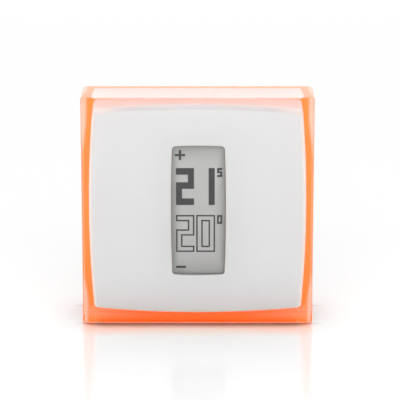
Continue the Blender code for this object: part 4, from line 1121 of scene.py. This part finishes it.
def orange_film():
    """Fluorescent orange film with a painted glow: saturated beside the body, with painted light that turns it
    deeper at its foot and lighter along its outer edge.
    """
    # The emission is a painted glow, standing in for the film's fluorescence and for light that the block
    # carries to it.
    look = Look("orange_film", (1.0, 0.24, 0.02), 0.5, Emission_Strength=1.0)
    place = look.separated("Object")
    x = look.distance_off(place["X"])
    z = look.figure("DIVIDE", place["Z"], MM)
    # Painted light: the film turns lighter along its outer edge, where the block's sides show it brightly lit,
    # and at the corners of its foot.
    upper = look.product(look.rise(z, 14.0, 34.0), 1.6)
    lower = look.product(look.rise(z, -24.0, -39.0), 1.5)
    shift = look.figure("ADD", upper, lower)
    edge = look.rise(look.figure("ADD", x, shift), 41.0, 42.4)
    foot = look.product(look.rise(x, 10.0, 38.0), look.rise(z, -37.5, -41.0))
    painted_edge_light = look.figure("MAXIMUM", edge, look.product(foot, 0.28))
    # Painted light: colour and glow turn a deeper orange towards the foot.
    deep = look.rise(z, -15.0, -36.0)
    body = look.blended(deep, (1.0, 0.24, 0.02), (1.0, 0.22, 0.005))
    glow = look.blended(deep, (1.0, 0.1, 0.005), (1.0, 0.085, 0.001))
    look.lead(look.blended(painted_edge_light, body, (1.0, 0.51, 0.4)), "Base Color")
    look.lead(look.blended(painted_edge_light, glow, (1.0, 0.21, 0.135)), "Emission Color")
    look.bump(look.noise(3000.0), 0.003, 0.0)
    return look


def shell_white_painted_light():
    """White moulding with painted light: cooler towards its foot, warm where it turns away from the front,
    shaded along its top, orange underneath, and a painted glow on its turned edges.
    """
    look = moulded("shell_white_painted_light", (0.9, 0.9, 0.9), 0.5)
    place = look.separated("Object")
    # Painted light: cooler towards the foot, to offset the warm light that the floor bounces onto it.
    low = look.rise(look.figure("DIVIDE", place["Z"], MM), -3.0, -38.0)
    front = look.blended(low, (0.9, 0.905, 0.91), (0.905, 0.94, 0.955))
    normal = look.separated("Normal")
    # Painted light: warm orange light on faces that turn away from the front.
    edge = look.rise(look.figure("ABSOLUTE", normal["Y"]), 0.995, 0.75)
    upwards = look.rise(normal["Z"], 0.02, 0.3)
    downwards = look.rise(normal["Z"], -0.01, -0.4)
    painted_side_light = look.blended(edge, front, (1.0, 0.9, 0.84))
    off_x = look.distance_off(place["X"])
    # Painted shade and light on the top: darker over the middle of its edge, lighter towards the corners and
    # where it faces straight up.
    shoulder = look.blended(look.rise(off_x, 24.0, 37.0), (0.76, 0.71, 0.72), (0.96, 0.85, 0.8))
    painted_top_light_and_shade = look.blended(look.rise(normal["Z"], 0.85, 0.98), shoulder, (0.94, 0.84, 0.8))
    colour = look.blended(upwards, painted_side_light, painted_top_light_and_shade)
    # Painted light: cool light on faces that turn downwards, and orange light from the sheet on faces that
    # point straight down.
    colour = look.blended(downwards, colour, (0.87, 0.93, 0.92))
    under = look.rise(normal["Z"], -0.88, -0.98)
    look.lead(look.blended(under, colour, (1.0, 0.38, 0.06)), "Base Color")
    # Painted glow: emission on the turned edges and on the underside.
    aside = look.figure("SUBTRACT", 1.0, upwards)
    glow = look.product(look.product(edge, aside), 0.12)
    below = look.figure("MAXIMUM", look.product(downwards, 0.08), look.product(under, 0.25))
    look.lead(look.figure("ADD", glow, below), "Emission Strength")
    painted_glow_colour = look.blended(downwards, (1.0, 0.62, 0.45), (0.75, 1.0, 0.88))
    look.lead(look.blended(under, painted_glow_colour, (1.0, 0.15, 0.01)), "Emission Color")
    return look


def display_grey():
    """Electronic paper: fine speckle, with painted shade that darkens it towards the window's edges."""
    look = Look("display_grey", (0.46, 0.465, 0.455), 0.45)
    place = look.separated("Object")
    x = look.distance_off(place["X"], WINDOW_X)
    z = look.distance_off(place["Z"], WINDOW_Z)
    # Painted shade of the window's recess: the paper darker towards the window's edges.
    side = look.rise(x, WINDOW_HALF_X - 4.0, WINDOW_HALF_X)
    end = look.rise(z, WINDOW_HALF_Z - 8.5, WINDOW_HALF_Z + 2.0)
    edge = look.figure("MAXIMUM", side, end)
    look.lead(look.blended(edge, (0.545, 0.55, 0.54), (0.36, 0.365, 0.355)), "Base Color")
    speckle = look.noise(9000.0)
    look.ramp(speckle, 0.4, 0.5, "Roughness")
    look.bump(speckle, 0.001, 0.0)
    return look


ACRYLIC = Look("clear_acrylic", (1.0, 0.995, 0.99), 0.0, Transmission_Weight=1.0, IOR=1.49)
ORANGE_PAINTED_GLOW = orange_film()
WHITE = moulded("white_plastic", (0.82, 0.82, 0.82), 0.5)
SHELL_WHITE_PAINTED_LIGHT = shell_white_painted_light()
GREY = moulded("light_grey_plastic", (0.62, 0.63, 0.64), 0.5)
PANEL_PAINTED_SHADE = display_grey()
LINER_PAINTED_SHADE = moulded("window_shade_liner", (0.12, 0.12, 0.12), 0.5)
INK = moulded("display_ink", (0.001, 0.001, 0.001), 0.6, Specular_IOR_Level=0.0)
BLACK = moulded("black_plastic", (0.03, 0.03, 0.032), 0.45)
IVORY = moulded("ivory_plastic", (0.72, 0.66, 0.5), 0.45)
AMBER = moulded("amber_film", (0.55, 0.24, 0.04), 0.3)
BOARD = moulded("board_green", (0.02, 0.16, 0.07), 0.35, grain=900.0, Coat_Weight=0.4)
TRACK = moulded("board_track", (0.05, 0.28, 0.12), 0.3, grain=900.0, Coat_Weight=0.4)
SILK_INK = moulded("board_ink", (0.75, 0.76, 0.74), 0.6)
TERMINAL = moulded("terminal_green", (0.04, 0.3, 0.12), 0.45)
STEEL = metal("bright_steel", (0.62, 0.62, 0.61), 0.3)
SOLDER = metal("solder", (0.68, 0.68, 0.7), 0.35)
BRASS = metal("brass", (0.74, 0.52, 0.22), 0.3)
GOLD = metal("contact_gold", (0.9, 0.68, 0.3), 0.25)
COPPER = metal("copper", (0.75, 0.38, 0.2), 0.3)
CERAMIC = moulded("passive_ceramic", (0.32, 0.22, 0.13), 0.5)
WRAPPER = moulded("cell_wrapper", (0.045, 0.05, 0.06), 0.28, grain=1200.0, Coat_Weight=0.6)
COLLAR = metal("cell_collar", (0.72, 0.42, 0.24), 0.3)
SLEEVE = moulded("capacitor_sleeve", (0.03, 0.06, 0.2), 0.3, Coat_Weight=0.5)
STRIPE = moulded("capacitor_stripe", (0.6, 0.62, 0.66), 0.35)
BY_SLOT = dict(
    clear_acrylic=ACRYLIC, orange_film=ORANGE_PAINTED_GLOW, white_plastic=WHITE, light_grey_plastic=GREY,
    display_grey=PANEL_PAINTED_SHADE, black_plastic=BLACK, ivory_plastic=IVORY, amber_film=AMBER, board_green=BOARD,
    terminal_green=TERMINAL, bright_steel=STEEL, brass=BRASS, copper=COPPER, cell_wrapper=WRAPPER,
    capacitor_sleeve=SLEEVE)


def dress_nodes():
    """Give every CAD node the material of its slot."""
    for entry in frame["record"]["subparts"]:
        mesh = frame["nodes"][entry["node"]].data
        mesh.materials.clear()
        mesh.materials.append(BY_SLOT[entry["material_slot"]].material)


# ---- stage, light and camera

FLOOR_GAP = 0.02
FLOOR_HALF = 3000.0
SURROUNDINGS = 1.2
SOFTBOX_PLACE = (0.0, -0.38, 0.27)
SOFTBOX_SIZE = (0.5, 0.18)
SOFTBOX_POWER = 1.18
LENS = 199.8
SENSOR = 36.0
CAMERA_PLACE = (0.00157, -0.79139, 0.19643)
CAMERA_TILT = 14.0252  # degrees downwards
CAMERA_TURN = 0.0517


def floor_white():
    """Glossy white with painted light: a painted soft shade around the block, painted warm light before and
    behind it, and a painted contact shadow under its edge.
    """
    low, high = box_mm("clear_block")
    middle = (low + high) / 2
    half = (high - low) / 2
    white = (0.7, 0.7, 0.7)
    look = Look("floor_white", white, 0.12)
    place = look.separated("Object")
    off_x = look.distance_off(place["X"], middle.x)
    off_y = look.distance_off(place["Y"], middle.y)

    def patch(side_in, side_out, front_in, front_out):
        """A soft patch about the block: full, and gone, so many millimetres past its sides and its front."""
        across = look.rise(off_x, half.x + side_out, half.x + side_in)
        return look.product(across, look.rise(off_y, half.y + front_out, half.y + front_in))

    # Painted shade: a soft darkening of the floor around the block.
    around = look.product(patch(0.0, 16.0, 0.0, 16.0), 0.1)
    colour = look.blended(around, white, (0.16, 0.16, 0.16))
    # Painted reflection: warm light from the orange sheet on the floor before and behind the block.
    warm = look.product(patch(-2.0, 2.0, 4.0, 20.0), 0.8)
    colour = look.blended(warm, colour, (0.82, 0.56, 0.47))
    # Painted contact shadow: the floor darkened where the block stands close over it, from an occlusion node.
    beyond = look.rise(off_y, half.y - 1.0, half.y + 1.0)
    painted_contact_shadow = look.product(look.rise(look.covered(12.0), 0.13, 0.4), beyond)
    colour = look.blended(painted_contact_shadow, colour, (0.13, 0.08, 0.055))
    look.lead(colour, "Base Color")
    return look


def make_stage():
    """A glossy white floor under the block, and white surroundings."""
    place = Matrix.Translation((0, 0, CAD_BOUNDS[0].z / MM - FLOOR_GAP))
    bm = bmesh.new()
    bmesh.ops.create_grid(bm, x_segments=8, y_segments=8, size=FLOOR_HALF, matrix=place)
    floor = mesh_object("floor", bm, floor_white())

    world = bpy.data.worlds.new("white_surroundings")
    world.use_nodes = True
    background = world.node_tree.nodes["Background"].inputs
    background["Strength"].default_value = SURROUNDINGS
    background["Color"].default_value = (1.0, 1.0, 1.0, 1.0)
    bpy.context.scene.world = world


def make_softbox():
    """A large soft light above and before the block, turned towards it."""
    data = bpy.data.lights.new("softbox", "AREA")
    data.shape = "RECTANGLE"
    data.size, data.size_y = SOFTBOX_SIZE
    data.energy = SOFTBOX_POWER
    light = bpy.data.objects.new("softbox", data)
    light.location = SOFTBOX_PLACE
    light.rotation_euler = (-Vector(SOFTBOX_PLACE)).to_track_quat("-Z", "Y").to_euler()
    bpy.context.scene.collection.objects.link(light)


def make_camera():
    """A long lens, a little above the object."""
    data = bpy.data.cameras.new("camera")
    data.lens = LENS
    data.sensor_width = SENSOR
    camera = bpy.data.objects.new("camera", data)
    camera.location = CAMERA_PLACE
    camera.rotation_euler = (math.radians(90 - CAMERA_TILT), 0.0, math.radians(CAMERA_TURN))
    bpy.context.scene.collection.objects.link(camera)
    bpy.context.scene.camera = camera
    bpy.context.scene.view_settings.view_transform = "Standard"


# ---- build

dress_nodes()
make_clear_block(ACRYLIC)
make_colour_sheet(ORANGE_PAINTED_GLOW)
make_front_shell(SHELL_WHITE_PAINTED_LIGHT)
make_window_liner(LINER_PAINTED_SHADE)
make_display_film(PANEL_PAINTED_SHADE)
make_glyphs(INK)
make_shell_fittings(WHITE)
make_board_details(TRACK, SOLDER, SILK_INK)
make_passives(CERAMIC, SOLDER)
make_processor(BLACK, SOLDER)
make_radio_can(STEEL, BLACK)
make_relay(IVORY, BLACK)
make_capacitor(SLEEVE, STRIPE, STEEL)
make_crystal(STEEL)
make_switch_details(STEEL, WHITE)
make_connector_details(BLACK, GOLD)
make_cells(WRAPPER, COLLAR, STEEL)
make_springs(STEEL)
make_contact_buttons(STEEL)
make_screw_threads(STEEL)
make_stage()
make_softbox()
make_camera()
